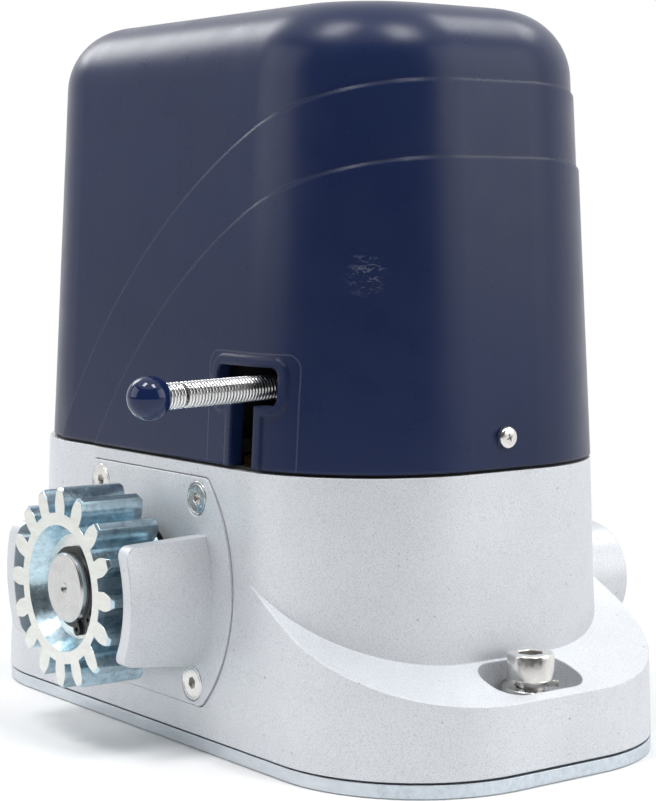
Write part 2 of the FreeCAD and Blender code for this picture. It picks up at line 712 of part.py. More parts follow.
def shaft_seal():
    return ring_y(SEAL_R, SHAFT_R + SEAT_GAP, SEAL_BACK - SEAL_T, SEAL_BACK)


# ---- bearings ----
def bearing_rings(spec, y0, y1):
    """Outer and inner ring about the output axis, each with its half of the dust shield's gap."""
    bore, outer, _ = spec
    middle = (bore + outer) / 2
    outer_ring = ring_y(outer, middle + SEAT_GAP / 2, y0, y1)
    inner_ring = ring_y(middle - SEAT_GAP / 2, bore + PRESS_FIT, y0, y1)
    return outer_ring, inner_ring


def upright(rings, z0):
    """Turns bearing rings made from y = 0 about the output axis onto the worm's axis."""
    for ring in rings:
        ring.rotate(at(0, 0, AXIS_Z), at(1, 0, 0), 90)
        ring.translate(at(WORM_X, 0, z0 - AXIS_Z))
    return rings


# ---- output shaft train ----
CIRCLIP_Y = PINION_FRONT + PINION_DISH_DEPTH - SEAT_GAP - CIRCLIP_T


def output_shaft():
    front = PINION_FRONT + SHAFT_INSET
    nose = cyl_y(SHAFT_R, front, FRONT_SEAT_END)
    nose = nose.makeChamfer(SHAFT_CHAMFER, [e for e in nose.Edges if e.BoundBox.YMax < front + INTO])
    seat = cyl_y(WHEEL_SEAT_R, FRONT_SEAT_END, WHEEL_BACK + SEAT_GAP)
    tail = cyl_y(REAR_R, WHEEL_BACK, REAR_SEAT_END)
    shaft = fuse(nose, seat, tail, *splines(0.0))
    shaft = shaft.cut(ring_y(SHAFT_R + INTO, SHAFT_R - GROOVE_SINK, CIRCLIP_Y - THREAD_FIT,
                             CIRCLIP_Y + CIRCLIP_T + THREAD_FIT))
    centre = Part.makeCone(CENTRE_R, 0, CENTRE_R, at(0, front, AXIS_Z), at(0, 1, 0))
    return shaft.cut(centre).cut(key_form(THREAD_FIT))


def splines(grow):
    """Ribs on the shaft that turn the clutch collar and let it slide."""
    top = WHEEL_SEAT_R + SPLINE_H + grow
    half = SPLINE_W / 2 + grow
    rib = box(-half, half, FRONT_SEAT_END + INTO, WHEEL_FRONT - DOG_H,
              AXIS_Z + WHEEL_SEAT_R - SPLINE_H, AXIS_Z + top)
    return polar(SPLINES, rib, at(0, 0, AXIS_Z), at(0, 1, 0))


def involute_angle(radius, base):
    ratio = math.acos(min(1.0, base / radius))
    return math.tan(ratio) - ratio


def gear_face(y):
    """One involute gear outline, facing along Y; each flank is an arc through three true points."""
    pitch = MODULE * TEETH / 2
    base = pitch * math.cos(PRESSURE)
    tip = PINION_TIP_R
    root = pitch - 1.25 * MODULE
    half = math.pi / (2 * TEETH) + involute_angle(pitch, base)

    def spot(radius, angle):
        return at(radius * math.sin(angle), y, AXIS_Z + radius * math.cos(angle))

    radii = (base, base + 0.4 * (tip - base), tip)
    edges = []
    for n in range(TEETH):
        mid = 2 * math.pi * n / TEETH + math.radians(PINION_PHASE)
        rise = [spot(r, mid - half + involute_angle(r, base)) for r in radii]
        fall = [spot(r, mid + half - involute_angle(r, base)) for r in reversed(radii)]
        root_in = spot(root, mid - half)
        root_out = spot(root, mid + half)
        valley = spot(root, mid + math.pi / TEETH)
        root_next = spot(root, mid + 2 * math.pi / TEETH - half)
        edges.append(Part.makeLine(root_in, rise[0]))
        edges.append(Part.Arc(*rise).toShape())
        edges.append(Part.Arc(rise[-1], spot(tip, mid), fall[0]).toShape())
        edges.append(Part.Arc(*fall).toShape())
        edges.append(Part.makeLine(fall[-1], root_out))
        edges.append(Part.Arc(root_out, valley, root_next).toShape())
    return Part.Face(Part.Wire(edges))


def end_circles(cylinder):
    return [e for e in cylinder.Edges if e.BoundBox.YLength < 0.01]


def key_form(grow):
    """The parallel key between shaft and pinion, or its seat when grown."""
    back = PINION_FRONT + PINION_W - KEY_INSET
    front = PINION_FRONT + PINION_DISH_DEPTH + SEAT_GAP
    low = AXIS_Z + SHAFT_R - KEY_H / 2
    key = box(-KEY_W / 2 - grow, KEY_W / 2 + grow, front - grow, back + grow,
              low - grow, low + KEY_H + grow)
    key.rotate(at(0, 0, AXIS_Z), at(0, 1, 0), KEY_TURN)
    return key


def pinion():
    back = PINION_FRONT + PINION_W
    gear = gear_face(PINION_FRONT).extrude(at(0, PINION_W, 0))
    blank = cyl_y(PINION_TIP_R + 0.01, PINION_FRONT, back)
    gear = gear.common(blank.makeChamfer(TIP_CHAMFER, end_circles(blank)))
    gear = fuse(gear, cyl_y(PINION_HUB_R, back - INTO, back + PINION_HUB_LEN))
    dish = Part.makeCone(PINION_DISH_R, PINION_DISH_FLOOR, PINION_DISH_DEPTH,
                         at(0, PINION_FRONT, AXIS_Z), at(0, 1, 0))
    gear = gear.cut(dish).cut(cyl_y(SHAFT_R + PRESS_FIT, -PAST, PAST))
    return gear.cut(key_form(THREAD_FIT))


def pinion_circlip():
    """Open ring in the shaft's groove, with two drilled lugs."""
    y0 = CIRCLIP_Y
    y1 = y0 + CIRCLIP_T
    outer = SHAFT_R + CIRCLIP_W - INTO
    clip = ring_y(outer, SHAFT_R - INTO, y0, y1)
    half = CIRCLIP_LUG_OUT - CIRCLIP_LUG_R
    clip = clip.cut(box(-half, half, y0 - INTO, y1 + INTO, AXIS_Z, AXIS_Z + PAST))
    for side in (1, -1):
        lug = ring_y(CIRCLIP_LUG_R, CIRCLIP_LUG_HOLE, y0, y1, side * CIRCLIP_LUG_OUT, AXIS_Z + outer)
        clip = fuse(clip, lug.cut(cyl_y(outer - INTO, y0 - INTO, y1 + INTO)))
    clip.rotate(at(0, 0, AXIS_Z), at(0, 1, 0), CIRCLIP_TURN)
    return clip


def rear_spacer():
    return ring_y(SPACER_SLEEVE_R, REAR_R + PRESS_FIT, WHEEL_BACK + SEAT_GAP, REAR_SEAT_START)


# ---- worm wheel and clutch ----
def dogs(y0, y1, turn):
    """Ring of driving dogs between two levels, turned about the axis."""
    half = math.radians(DOG_SWEEP / 2)
    reach = 2 * WHEEL_HUB_R
    wedge = prism([at(0, y0, AXIS_Z), at(-reach * math.tan(half), y0, AXIS_Z + reach),
                   at(reach * math.tan(half), y0, AXIS_Z + reach)], at(0, y1 - y0, 0))
    tooth = ring_y(WHEEL_HUB_R, DOG_IN, y0, y1).common(wedge)
    tooth.rotate(at(0, 0, AXIS_Z), at(0, 1, 0), turn)
    return polar(DOGS, tooth, at(0, 0, AXIS_Z), at(0, 1, 0))


def worm_wheel():
    tip = WHEEL_PITCH_R + WHEEL_MODULE
    root = WHEEL_PITCH_R - 1.25 * WHEEL_MODULE
    corners = []
    root_turn = WHEEL_ROOT_SHARE / 2
    tip_turn = WHEEL_TIP_SHARE / 2
    for n in range(WHEEL_TEETH):
        for radius, turn in ((root, -root_turn), (tip, -tip_turn), (tip, tip_turn), (root, root_turn)):
            angle = 2 * math.pi * (n + turn) / WHEEL_TEETH
            corners.append(at(radius * math.sin(angle), -WHEEL_HALF_W, AXIS_Z + radius * math.cos(angle)))
    rim = prism(corners, at(0, 2 * WHEEL_HALF_W, 0))
    hub = cyl_y(WHEEL_HUB_R, WHEEL_FRONT, WHEEL_BACK)
    wheel = fuse(rim, hub, *dogs(WHEEL_FRONT - DOG_H + SEAT_GAP, WHEEL_FRONT, 0))
    return wheel.cut(cyl_y(WHEEL_SEAT_R + RUN_FIT, -PAST, PAST))


COLLAR_BACK = WHEEL_FRONT - DOG_H
COLLAR_FRONT = COLLAR_BACK - CLUTCH_LEN
GROOVE_MID = (COLLAR_BACK + COLLAR_FRONT) / 2
PIN_Y = GROOVE_MID - CLUTCH_TRAVEL / 2
HELIX_STEPS = 8


def clutch_collar():
    collar = cyl_y(CLUTCH_R, COLLAR_FRONT, COLLAR_BACK)
    groove = ring_y(CLUTCH_R + INTO, GROOVE_R, GROOVE_MID - GROOVE_W / 2, GROOVE_MID + GROOVE_W / 2)
    collar = collar.cut(groove)
    collar = fuse(collar, *dogs(COLLAR_BACK, WHEEL_FRONT - SEAT_GAP, 180.0 / DOGS))
    collar = collar.cut(cyl_y(WHEEL_SEAT_R + RUN_FIT, -PAST, PAST))
    for rib in splines(RUN_FIT):
        collar = collar.cut(rib)
    return collar


def clutch_fork():
    """Fork in the collar's groove, with a boss that slides on the release spindle."""
    half = GROOVE_W / 2 - SEAT_GAP
    y0 = GROOVE_MID - half
    y1 = GROOVE_MID + half
    ring = cyl_y(GROOVE_R + FORK_RIM, y0, y1).common(box(-FORK_WRAP, PAST, y0, y1, -PAST, PAST))
    root = FORK_ROOT / 2
    tip = FORK_TIP / 2
    arm = prism([at(GROOVE_R, y0, AXIS_Z + root), at(RELEASE_X, y0, RELEASE_Z + tip),
                 at(RELEASE_X, y0, RELEASE_Z - tip), at(GROOVE_R, y0, AXIS_Z - root)], at(0, 2 * half, 0))
    boss_half = FORK_BOSS_LEN / 2
    boss = cyl_y(FORK_BOSS_R, GROOVE_MID - boss_half, GROOVE_MID + boss_half, RELEASE_X, RELEASE_Z)
    fork = fuse(ring, arm, boss)
    fork = fork.cut(cyl_y(GROOVE_R + SEAT_GAP, -PAST, PAST))
    fork = fork.cut(cyl_y(RELEASE_R + RUN_FIT, -PAST, PAST, RELEASE_X, RELEASE_Z))
    return fork.cut(helical_slot())


def helical_slot():
    """The path of the spindle's pin, seen from the fork, as the spindle makes a quarter turn."""
    slot = None
    for i in range(HELIX_STEPS + 1):
        share = i / HELIX_STEPS
        y = PIN_Y + CLUTCH_TRAVEL * share
        pin = cyl_z(PIN_R + PIN_PLAY, RELEASE_Z, RELEASE_Z + FORK_BOSS_R + INTO, RELEASE_X, y)
        pin.rotate(at(RELEASE_X, 0, RELEASE_Z), at(0, 1, 0), RELEASE_TURN * share)
        slot = pin if slot is None else slot.fuse(pin)
    return slot


# ---- manual release ----
KNOB_Y = BOSS_END - BOSS_DISH + SEAT_GAP


def release_spindle():
    y0 = LUG_END - SPINDLE_SEAT + SEAT_GAP
    spindle = cyl_y(RELEASE_R, y0, KNOB_Y + KNOB_T, RELEASE_X, RELEASE_Z)
    return spindle.cut(cyl_z(PIN_R + PRESS_FIT, RELEASE_Z - PIN_SINK, PAST, RELEASE_X, PIN_Y))


def release_pin():
    return cyl_z(PIN_R, RELEASE_Z - PIN_SINK, RELEASE_Z + PIN_REACH, RELEASE_X, PIN_Y)


def release_knob():
    disc = cyl_y(BOSS_DISH_R - KNOB_GAP, KNOB_Y, KNOB_Y + KNOB_T + KNOB_CAP, RELEASE_X, RELEASE_Z)
    half = BOSS_DISH_R - KNOB_BAR_INSET
    bar = box(RELEASE_X - half, RELEASE_X + half, KNOB_Y + KNOB_T, BOSS_END - KNOB_GAP,
              RELEASE_Z - KNOB_BAR_W / 2, RELEASE_Z + KNOB_BAR_W / 2)
    knob = fuse(disc, bar)
    return knob.cut(cyl_y(RELEASE_R + PRESS_FIT, -PAST, KNOB_Y + KNOB_T, RELEASE_X, RELEASE_Z))


# ---- gearbox lid ----
WORM_SEAT_Z = LID_Z + LID_SHOULDER
WORM_SEAT_TOP = WORM_SEAT_Z + WORM_BEARING[2]
GROMMET_R = CABLE_R + GROMMET_WALL


def gearbox_lid():
    lid = case_form(LID_Z, LID_TOP, -CASE_WALL - SEAT_GAP)
    boss_r = WORM_BEARING[1] + HOUSING_WALL
    lid = fuse(lid, cyl_z(boss_r, LID_TOP - INTO, WORM_SEAT_TOP, WORM_X, 0))
    lid = lid.cut(cyl_z(WORM_BEARING[1] + PRESS_FIT, WORM_SEAT_Z, PAST, WORM_X, 0))
    lid = lid.cut(cyl_z(WORM_BEARING[0] + SHAFT_ROOM, -PAST, LID_TOP, WORM_X, 0))
    lid = lid.cut(cyl_z(GROMMET_R + PRESS_FIT, -PAST, PAST, CABLE_X, 0))
    lid = lid.cut(cyl_z(OIL_R + THREAD_FIT, -PAST, PAST, OIL_X, OIL_Y))
    for x, y in pillar_places():
        lid = lid.cut(sunk_screw(LID_SCREW_R + THREAD_FIT, PAST, x, y, LID_TOP))
    return lid.cut(plate_outline(PAD_RIM + SEAT_GAP, -PAST, COVER_PLATE_BACK + PAD_DEPTH + SEAT_GAP))


def sunk_screw(r, length, x, y, z):
    """Countersunk screw, head up, with the top of its head at height z."""
    head = Part.makeCone(r, 2 * r, r, at(x, y, z - r))
    return fuse(head, cyl_z(r, z - length, z - r + INTO / 2, x, y))


def cap_screw(r, length, x, y, z):
    """Cylinder-head screw, head up, with the underside of its head at height z."""
    head = cyl_z(CAP_SHARE * r, z, z + 2 * r, x, y)
    return fuse(head, cyl_z(r, z - length, z, x, y))


def lid_screws():
    return [sunk_screw(LID_SCREW_R, LID_SCREW_LEN, x, y, LID_TOP) for x, y in pillar_places()]


def oil_plug():
    head = hex_prism(OIL_HEX, LID_TOP, LID_TOP + OIL_HEAD_H, OIL_X, OIL_Y)
    return fuse(head, cyl_z(OIL_R, LID_Z, LID_TOP + INTO, OIL_X, OIL_Y))


def cable_grommet():
    """Rubber sleeve in the lid, over the mouth of the cable duct."""
    sleeve = cyl_z(GROMMET_R, LID_Z + SEAT_GAP, LID_TOP, CABLE_X, 0)
    flange = cyl_z(GROMMET_R + GROMMET_LIP, LID_TOP, LID_TOP + GROMMET_LIP, CABLE_X, 0)
    return fuse(sleeve, flange).cut(cyl_z(CABLE_R - GROMMET_WALL, 0, PAST, CABLE_X, 0))


# ---- motor ----
FRAME_Z0 = LID_TOP + LOWER_SHIELD_T
FRAME_Z1 = FRAME_Z0 + FRAME_LEN
TOP_Z = FRAME_Z1 + TOP_SHIELD_T
CORE_Z0 = FRAME_Z0 + CORE_START
CORE_Z1 = CORE_Z0 + CORE_LEN
BOLT_CIRCLE = SHIELD_R + MOTOR_EAR_OUT


def motor_bolt_places():
    places = []
    for n in range(4):
        angle = math.radians(45 + 90 * n)
        places.append((WORM_X + BOLT_CIRCLE * math.cos(angle), BOLT_CIRCLE * math.sin(angle)))
    return places


def shield(z0, z1):
    disc = cyl_z(SHIELD_R, z0, z1, WORM_X, 0)
    ears = [cyl_z(MOTOR_EAR_R, z0, z1, x, y) for x, y in motor_bolt_places()]
    disc = fuse(disc, *ears)
    for x, y in motor_bolt_places():
        disc = disc.cut(cyl_z(MOTOR_BOLT_R + THREAD_FIT, z0 - INTO, z1 + INTO, x, y))
    return disc


def motor_lower_shield():
    spigot_r = WORM_BEARING[1] + HOUSING_WALL + SEAT_GAP
    return shield(LID_TOP, FRAME_Z0).cut(cyl_z(spigot_r, -PAST, PAST, WORM_X, 0))


def motor_top_shield():
    seat = cyl_z(WORM_BEARING[1] + PRESS_FIT, -PAST, FRAME_Z1 + WORM_BEARING[2], WORM_X, 0)
    return shield(FRAME_Z1, TOP_Z).cut(seat)


def motor_frame():
    return ring_z(FRAME_R, FRAME_R - FRAME_WALL, FRAME_Z0, FRAME_Z1, WORM_X, 0)


def stator_core():
    return ring_z(FRAME_R - FRAME_WALL - PRESS_FIT, ROTOR_R + AIR_GAP, CORE_Z0, CORE_Z1, WORM_X, 0)


def stator_coils():
    lower = ring_z(COIL_R, COIL_IN, CORE_Z0 - COIL_H, CORE_Z0, WORM_X, 0)
    upper = ring_z(COIL_R, COIL_IN, CORE_Z1, CORE_Z1 + COIL_H, WORM_X, 0)
    return [lower, upper]


def rotor_core():
    return ring_z(ROTOR_R, WORM_BEARING[0] + PRESS_FIT, CORE_Z0, CORE_Z1, WORM_X, 0)


def worm_shaft():
    """Rotor shaft and worm in one piece; the worm is its plain core."""
    core = cyl_z(WORM_CORE_R, WORM_Z - WORM_BUSH_LEN + SEAT_GAP, WORM_SEAT_Z, WORM_X, 0)
    shaft = cyl_z(WORM_BEARING[0], WORM_SEAT_Z - INTO, FRAME_Z1 + WORM_BEARING[2], WORM_X, 0)
    return fuse(core, shaft)


def worm_bush():
    return ring_z(WORM_BUSH_R, WORM_CORE_R + RUN_FIT, WORM_Z - WORM_BUSH_LEN, WORM_Z, WORM_X, 0)


def motor_bolts():
    length = TOP_Z - LID_TOP - INTO
    return [cap_screw(MOTOR_BOLT_R, length, x, y, TOP_Z) for x, y in motor_bolt_places()]


# ---- electronics ----
def service_panel():
    """Folded sheet that carries the board and the capacitor."""
    sheet = box(PANEL_X0, PANEL_X1, PANEL_Y, PANEL_Y + PANEL_T, LID_TOP, PANEL_TOP)
    clear_of_grommet = CABLE_X - GROMMET_R - GROMMET_LIP - INTO
    foot = box(PANEL_X0, clear_of_grommet, PANEL_Y, PANEL_Y + PANEL_FOOT, LID_TOP, LID_TOP + PANEL_T)
    return fuse(sheet, foot)


def spacer_places():
    columns = (PANEL_X0 + SPACER_INSET, PANEL_X1 - SPACER_INSET)
    return [(x, z) for x in columns for z in (BOARD_Z0 + SPACER_INSET, BOARD_Z1 - SPACER_INSET)]


BOARD_BACK = PANEL_Y - SPACER_LEN
BOARD_FRONT = BOARD_BACK - BOARD_T


def board_spacers():
    return [cyl_y(SPACER_R, BOARD_BACK, PANEL_Y, x, z) for x, z in spacer_places()]


def control_board():
    return box(PANEL_X0, PANEL_X1, BOARD_FRONT, BOARD_BACK, BOARD_Z0, BOARD_Z1)


def board_row(count, size, pitch, drop):
    """A row of equal parts on the front of the board, a given drop below its upper edge."""
    width, depth, height = size
    z0 = BOARD_Z1 - drop
    starts = [PANEL_X0 + SPACER_INSET + pitch * n for n in range(count)]
    return [box(x0, x0 + width, BOARD_FRONT - depth, BOARD_FRONT, z0, z0 + height) for x0 in starts]


def terminal_blocks():
    return board_row(3, TERMINAL, TERMINAL_PITCH, TERMINAL_DROP)


def relays():
    return board_row(2, RELAY, RELAY_PITCH, RELAY_DROP)


def transformer():
    """Laminated core with the coil through its middle."""
    width, depth, height = CORE
    x0 = PANEL_X0 + PANEL_T
    y0 = PANEL_Y + PANEL_T + CORE_GAP
    core = box(x0, x0 + width, y0, y0 + depth, LID_TOP, LID_TOP + height)
    coil = box(x0 + COIL_INSET, x0 + width - COIL_INSET, y0 - COIL_SIDE, y0 + depth + COIL_SIDE,
               LID_TOP + COIL_INSET, LID_TOP + height - COIL_INSET)
    return core.cut(coil), coil


CAPACITOR_Y = PANEL_Y + PANEL_T + CAPACITOR_GAP + CAPACITOR_R


def capacitor():
    x0 = PANEL_X0 + PANEL_T
    return cyl_x(CAPACITOR_R, x0, x0 + CAPACITOR_LEN, CAPACITOR_Y, CAPACITOR_Z)


def capacitor_clip():
    x0 = PANEL_X0 + PANEL_T + (CAPACITOR_LEN - CLIP_W) / 2
    x1 = x0 + CLIP_W
    band = cyl_x(CAPACITOR_R + CLIP_T, x0, x1, CAPACITOR_Y, CAPACITOR_Z)
    half = CAPACITOR_R / 2
    tab = box(x0, x1, PANEL_Y + PANEL_T, CAPACITOR_Y - half, CAPACITOR_Z - half, CAPACITOR_Z + half)
    bore = cyl_x(CAPACITOR_R + PRESS_FIT, x0 - INTO, x1 + INTO, CAPACITOR_Y, CAPACITOR_Z)
    return fuse(band, tab).cut(bore)


# ---- limit switch ----
SHELF_Z = LEVER_Z - SHELF_DROP
SHELF_TOP = SHELF_Z + SHELF_T
UPPER_SHELF_Z = LEVER_Z + SHELF_RISE
WALL_Y = LEVER_PIVOT_Y + BRACKET_BACK


def limit_bracket():
    """Bent sheet: a foot on the lid, a wall, and two shelves that hold the pivot pin."""
    top = UPPER_SHELF_Z + SHELF_T
    edge = LEVER_PIVOT_Y - SHELF_EDGE
    x0 = LEVER_X - BRACKET_HALF
    x1 = LEVER_X + BRACKET_HALF
    wall = box(x0, x1, WALL_Y, WALL_Y + SHELF_T, LID_TOP, top)
    foot = box(x0, x1, WALL_Y - BRACKET_FOOT, WALL_Y, LID_TOP, LID_TOP + SHELF_T)
    low = box(LEVER_X - SHELF_LONG, LEVER_X + SHELF_LONG, edge, WALL_Y, SHELF_Z, SHELF_TOP)
    high = box(LEVER_X - SHELF_SHORT, LEVER_X + SHELF_SHORT, edge, WALL_Y, UPPER_SHELF_Z, top)
    bracket = fuse(wall, foot, low, high)
    return bracket.cut(cyl_z(PIVOT_R + PRESS_FIT, SHELF_Z - INTO, PAST, LEVER_X, LEVER_PIVOT_Y))


def pivot_pin():
    return cyl_z(PIVOT_R, SHELF_Z, UPPER_SHELF_Z + SHELF_T, LEVER_X, LEVER_PIVOT_Y)


def microswitches():
    """Two switches beside the hub's tail, each with its plunger towards it."""
    switches = []
    for side in (1, -1):
        x0, x1 = sorted((LEVER_X + side * SWITCH_GAP, LEVER_X + side * (SWITCH_GAP + SWITCH_T)))
        body = box(x0, x1, LEVER_PIVOT_Y + PIVOT_TO_SWITCH, WALL_Y - SEAT_GAP,
                   SHELF_TOP, SHELF_TOP + SWITCH_H)
        p0, p1 = sorted((LEVER_X + side * PLUNGER_GAP, LEVER_X + side * (SWITCH_GAP + INTO)))
        plunger = cyl_x(PLUNGER_R, p0, p1, LEVER_PIVOT_Y + PIVOT_TO_PLUNGER, LEVER_Z - TAIL_LOW / 2)
        switches.append(fuse(body, plunger))
    return switches


def droop(shape):
    """Tips a piece of the lever down about its pivot's centre."""
    shape.rotate(at(LEVER_X, LEVER_PIVOT_Y, LEVER_Z), at(1, 0, 0), LEVER_DROOP)
    return shape


def lever_hub():
    low = SHELF_TOP + SEAT_GAP
    hub = cyl_z(LEVER_HUB_R, low, low + LEVER_HUB_H, LEVER_X, LEVER_PIVOT_Y)
    tail = box(LEVER_X - TAIL_W / 2, LEVER_X + TAIL_W / 2, LEVER_PIVOT_Y, LEVER_PIVOT_Y + TAIL_LEN,
               LEVER_Z - TAIL_LOW, LEVER_Z + TAIL_HIGH)
    nipple_r = SPRING_R - SPRING_WIRE - PRESS_FIT
    reach = LEVER_PIVOT_Y - SPRING_START
    nipple = droop(cyl_y(nipple_r, reach - NIPPLE_LEN, LEVER_PIVOT_Y, LEVER_X, LEVER_Z))
    collar = droop(cyl_y(SPRING_R + COLLAR_STEP, reach, LEVER_PIVOT_Y, LEVER_X, LEVER_Z))
    hub = fuse(hub, tail, nipple, collar)
    return hub.cut(cyl_z(PIVOT_R + RUN_FIT, 0, PAST, LEVER_X, LEVER_PIVOT_Y))


def lever_spring():
    """Close-wound spring as a plain tube."""
    y0 = LEVER_PIVOT_Y - SPRING_END
    y1 = LEVER_PIVOT_Y - SPRING_START
    return droop(ring_y(SPRING_R, SPRING_R - SPRING_WIRE, y0, y1, LEVER_X, LEVER_Z))


def lever_ball():
    y = LEVER_PIVOT_Y - BALL_AT
    ball = Part.makeSphere(BALL_R, at(LEVER_X, y, LEVER_Z))
    mouth = LEVER_PIVOT_Y - SPRING_END
    return droop(ball.cut(cyl_y(SPRING_R + PRESS_FIT, mouth, LEVER_PIVOT_Y, LEVER_X, LEVER_Z)))


# ---- cover ----
def slot_form(grow):
    """Level and upright slots seen from the front, as one thick block."""
    half_w = (SWING_LEFT + SWING_RIGHT) / 2 + grow
    half_h = (SWING_LOW + SWING_HIGH) / 2 + grow
    near = -LEVER_PIVOT_Y + LEVER_HUB_R
    level = rounded_block(half_w, half_h, SWING_ROUND + grow, near, PAST)
    level.rotate(at(0, 0, 0), at(1, 0, 0), 90)
    level.translate(at(LEVER_X + (SWING_RIGHT - SWING_LEFT) / 2, 0, LEVER_Z + (SWING_HIGH - SWING_LOW) / 2))
    upright_slot = box(LEVER_X - LIFT_LEFT - grow, LEVER_X + LIFT_RIGHT + grow, -PAST, -near,
                       COVER_Z - INTO, LEVER_Z)
    return fuse(level, upright_slot)


def cover():
    shell = cover_form()
    arcs = ((UPPER_ARC_OUT, UPPER_ARC_Z, UPPER_ARC_R), (LOWER_ARC_OUT, LOWER_ARC_Z, LOWER_ARC_R))
    for layer, (out, z, r) in enumerate(arcs, start=1):
        raised = cover_form(layer * STEP).common(cyl_y(r, -PAST, PAST, COVER_HX + out, z))
        shell = shell.fuse(raised)
    rim = cover_form(2 * STEP + RIM_H).common(slot_form(RIM_W))
    shell = fuse(shell, rim)
    shell = shell.cut(cover_hollow())
    shell = shell.cut(slot_form(0.0))
    return shell.cut(cyl_x(COVER_SCREW_R + THREAD_FIT, -PAST, PAST, 0, COVER_SCREW_Z))


def cover_outer_x(z, layers):
    return cover_inner_x(z) + COVER_WALL + layers * STEP


def cover_screws():
    screws = []
    for side, layers in ((1, 2), (-1, 0)):
        face = cover_outer_x(COVER_SCREW_Z - COVER_SCREW_HEAD_R, layers)
        head = cyl_x(COVER_SCREW_HEAD_R, face, face + COVER_SCREW_HEAD_H, 0, COVER_SCREW_Z)
        top_edge = [e for e in head.Edges if e.BoundBox.XMin > face + COVER_SCREW_HEAD_H / 2]
        head = head.makeChamfer(COVER_SCREW_ROUND, top_edge)
        tip = cover_inner_x(COVER_SCREW_Z) - SEAT_GAP - LUG_T
        shank = cyl_x(COVER_SCREW_R, tip, face, 0, COVER_SCREW_Z)
        screw = fuse(head, shank)
        screws.append(screw if side > 0 else screw.mirror(at(0, 0, 0), at(1, 0, 0)))
    return screws


def cover_seal():
    outer = rounded_block(COVER_HX - SEAL_STRIP_INSET, COVER_HY - SEAL_STRIP_INSET,
                          COVER_R - SEAL_STRIP_INSET, CASE_TOP, COVER_Z)
    inset = SEAL_STRIP_INSET + SEAL_STRIP_W
    inner = rounded_block(COVER_HX - inset, COVER_HY - inset, COVER_R - inset,
                          CASE_TOP - INTO, COVER_Z + INTO)
    return outer.cut(inner)


# ---- all pieces ----
def main():
    os.makedirs("parts", exist_ok=True)
    save("base_plate", base_plate())
    save("levelling_screws", *levelling_screws())
    save("foundation_bolts", *foundation_bolts())
    save("foundation_washers", *foundation_washers())
    save("spring_washers", *spring_washers())
    save("gear_case", gear_case())
    save("gear_cover", gear_cover())
    save("gear_cover_screws", *gear_cover_screws())
    save("shaft_seal", shaft_seal())
    front_outer, front_inner = bearing_rings(FRONT_BEARING, FRONT_SEAT_START, FRONT_SEAT_END)
    save("front_bearing_outer", front_outer)
    save("front_bearing_inner", front_inner)
    rear_outer, rear_inner = bearing_rings(REAR_BEARING, REAR_SEAT_START, REAR_SEAT_END)
    save("rear_bearing_outer", rear_outer)
    save("rear_bearing_inner", rear_inner)
    save("output_shaft", output_shaft())
    save("pinion", pinion())
    save("pinion_key", key_form(0.0))
    save("pinion_circlip", pinion_circlip())
    save("rear_spacer", rear_spacer())
    save("worm_wheel", worm_wheel())
    save("clutch_collar", clutch_collar())
    save("clutch_fork", clutch_fork())
    save("release_spindle", release_spindle())
    save("release_pin", release_pin())
    save("release_knob", release_knob())
    save("gearbox_lid", gearbox_lid())
    save("lid_screws", *lid_screws())
    save("oil_plug", oil_plug())
    save("cable_grommet", cable_grommet())
    save("motor_lower_shield", motor_lower_shield())
    save("motor_frame", motor_frame())
    save("motor_top_shield", motor_top_shield())
    save("motor_bolts", *motor_bolts())
    save("stator_core", stator_core())
    save("stator_coils", *stator_coils())
    save("rotor_core", rotor_core())
    save("worm_shaft", worm_shaft())
    save("worm_bush", worm_bush())
    lower = upright(bearing_rings(WORM_BEARING, 0, WORM_BEARING[2]), WORM_SEAT_Z)
    upper = upright(bearing_rings(WORM_BEARING, 0, WORM_BEARING[2]), FRAME_Z1)
    save("worm_bearing_outer", lower[0])
    save("worm_bearing_inner", lower[1])
    save("motor_bearing_outer", upper[0])
    save("motor_bearing_inner", upper[1])
    save("service_panel", service_panel())
    save("board_spacers", *board_spacers())
    save("control_board", control_board())
    save("terminal_blocks", *terminal_blocks())
    save("relays", *relays())
    core, coil = transformer()
    save("transformer_core", core)
    save("transformer_coil", coil)
    save("capacitor", capacitor())
    save("capacitor_clip", capacitor_clip())
    save("limit_bracket", limit_bracket())
    save("pivot_pin", pivot_pin())
    save("microswitches", *microswitches())
    save("lever_hub", lever_hub())
    save("lever_spring", lever_spring())
    save("lever_ball", lever_ball())
    save("cover", cover())
    save("cover_screws", *cover_screws())
    save("cover_seal", cover_seal())


main()
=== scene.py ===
import json
import math

import bmesh
import bpy
from mathutils import Matrix, Vector

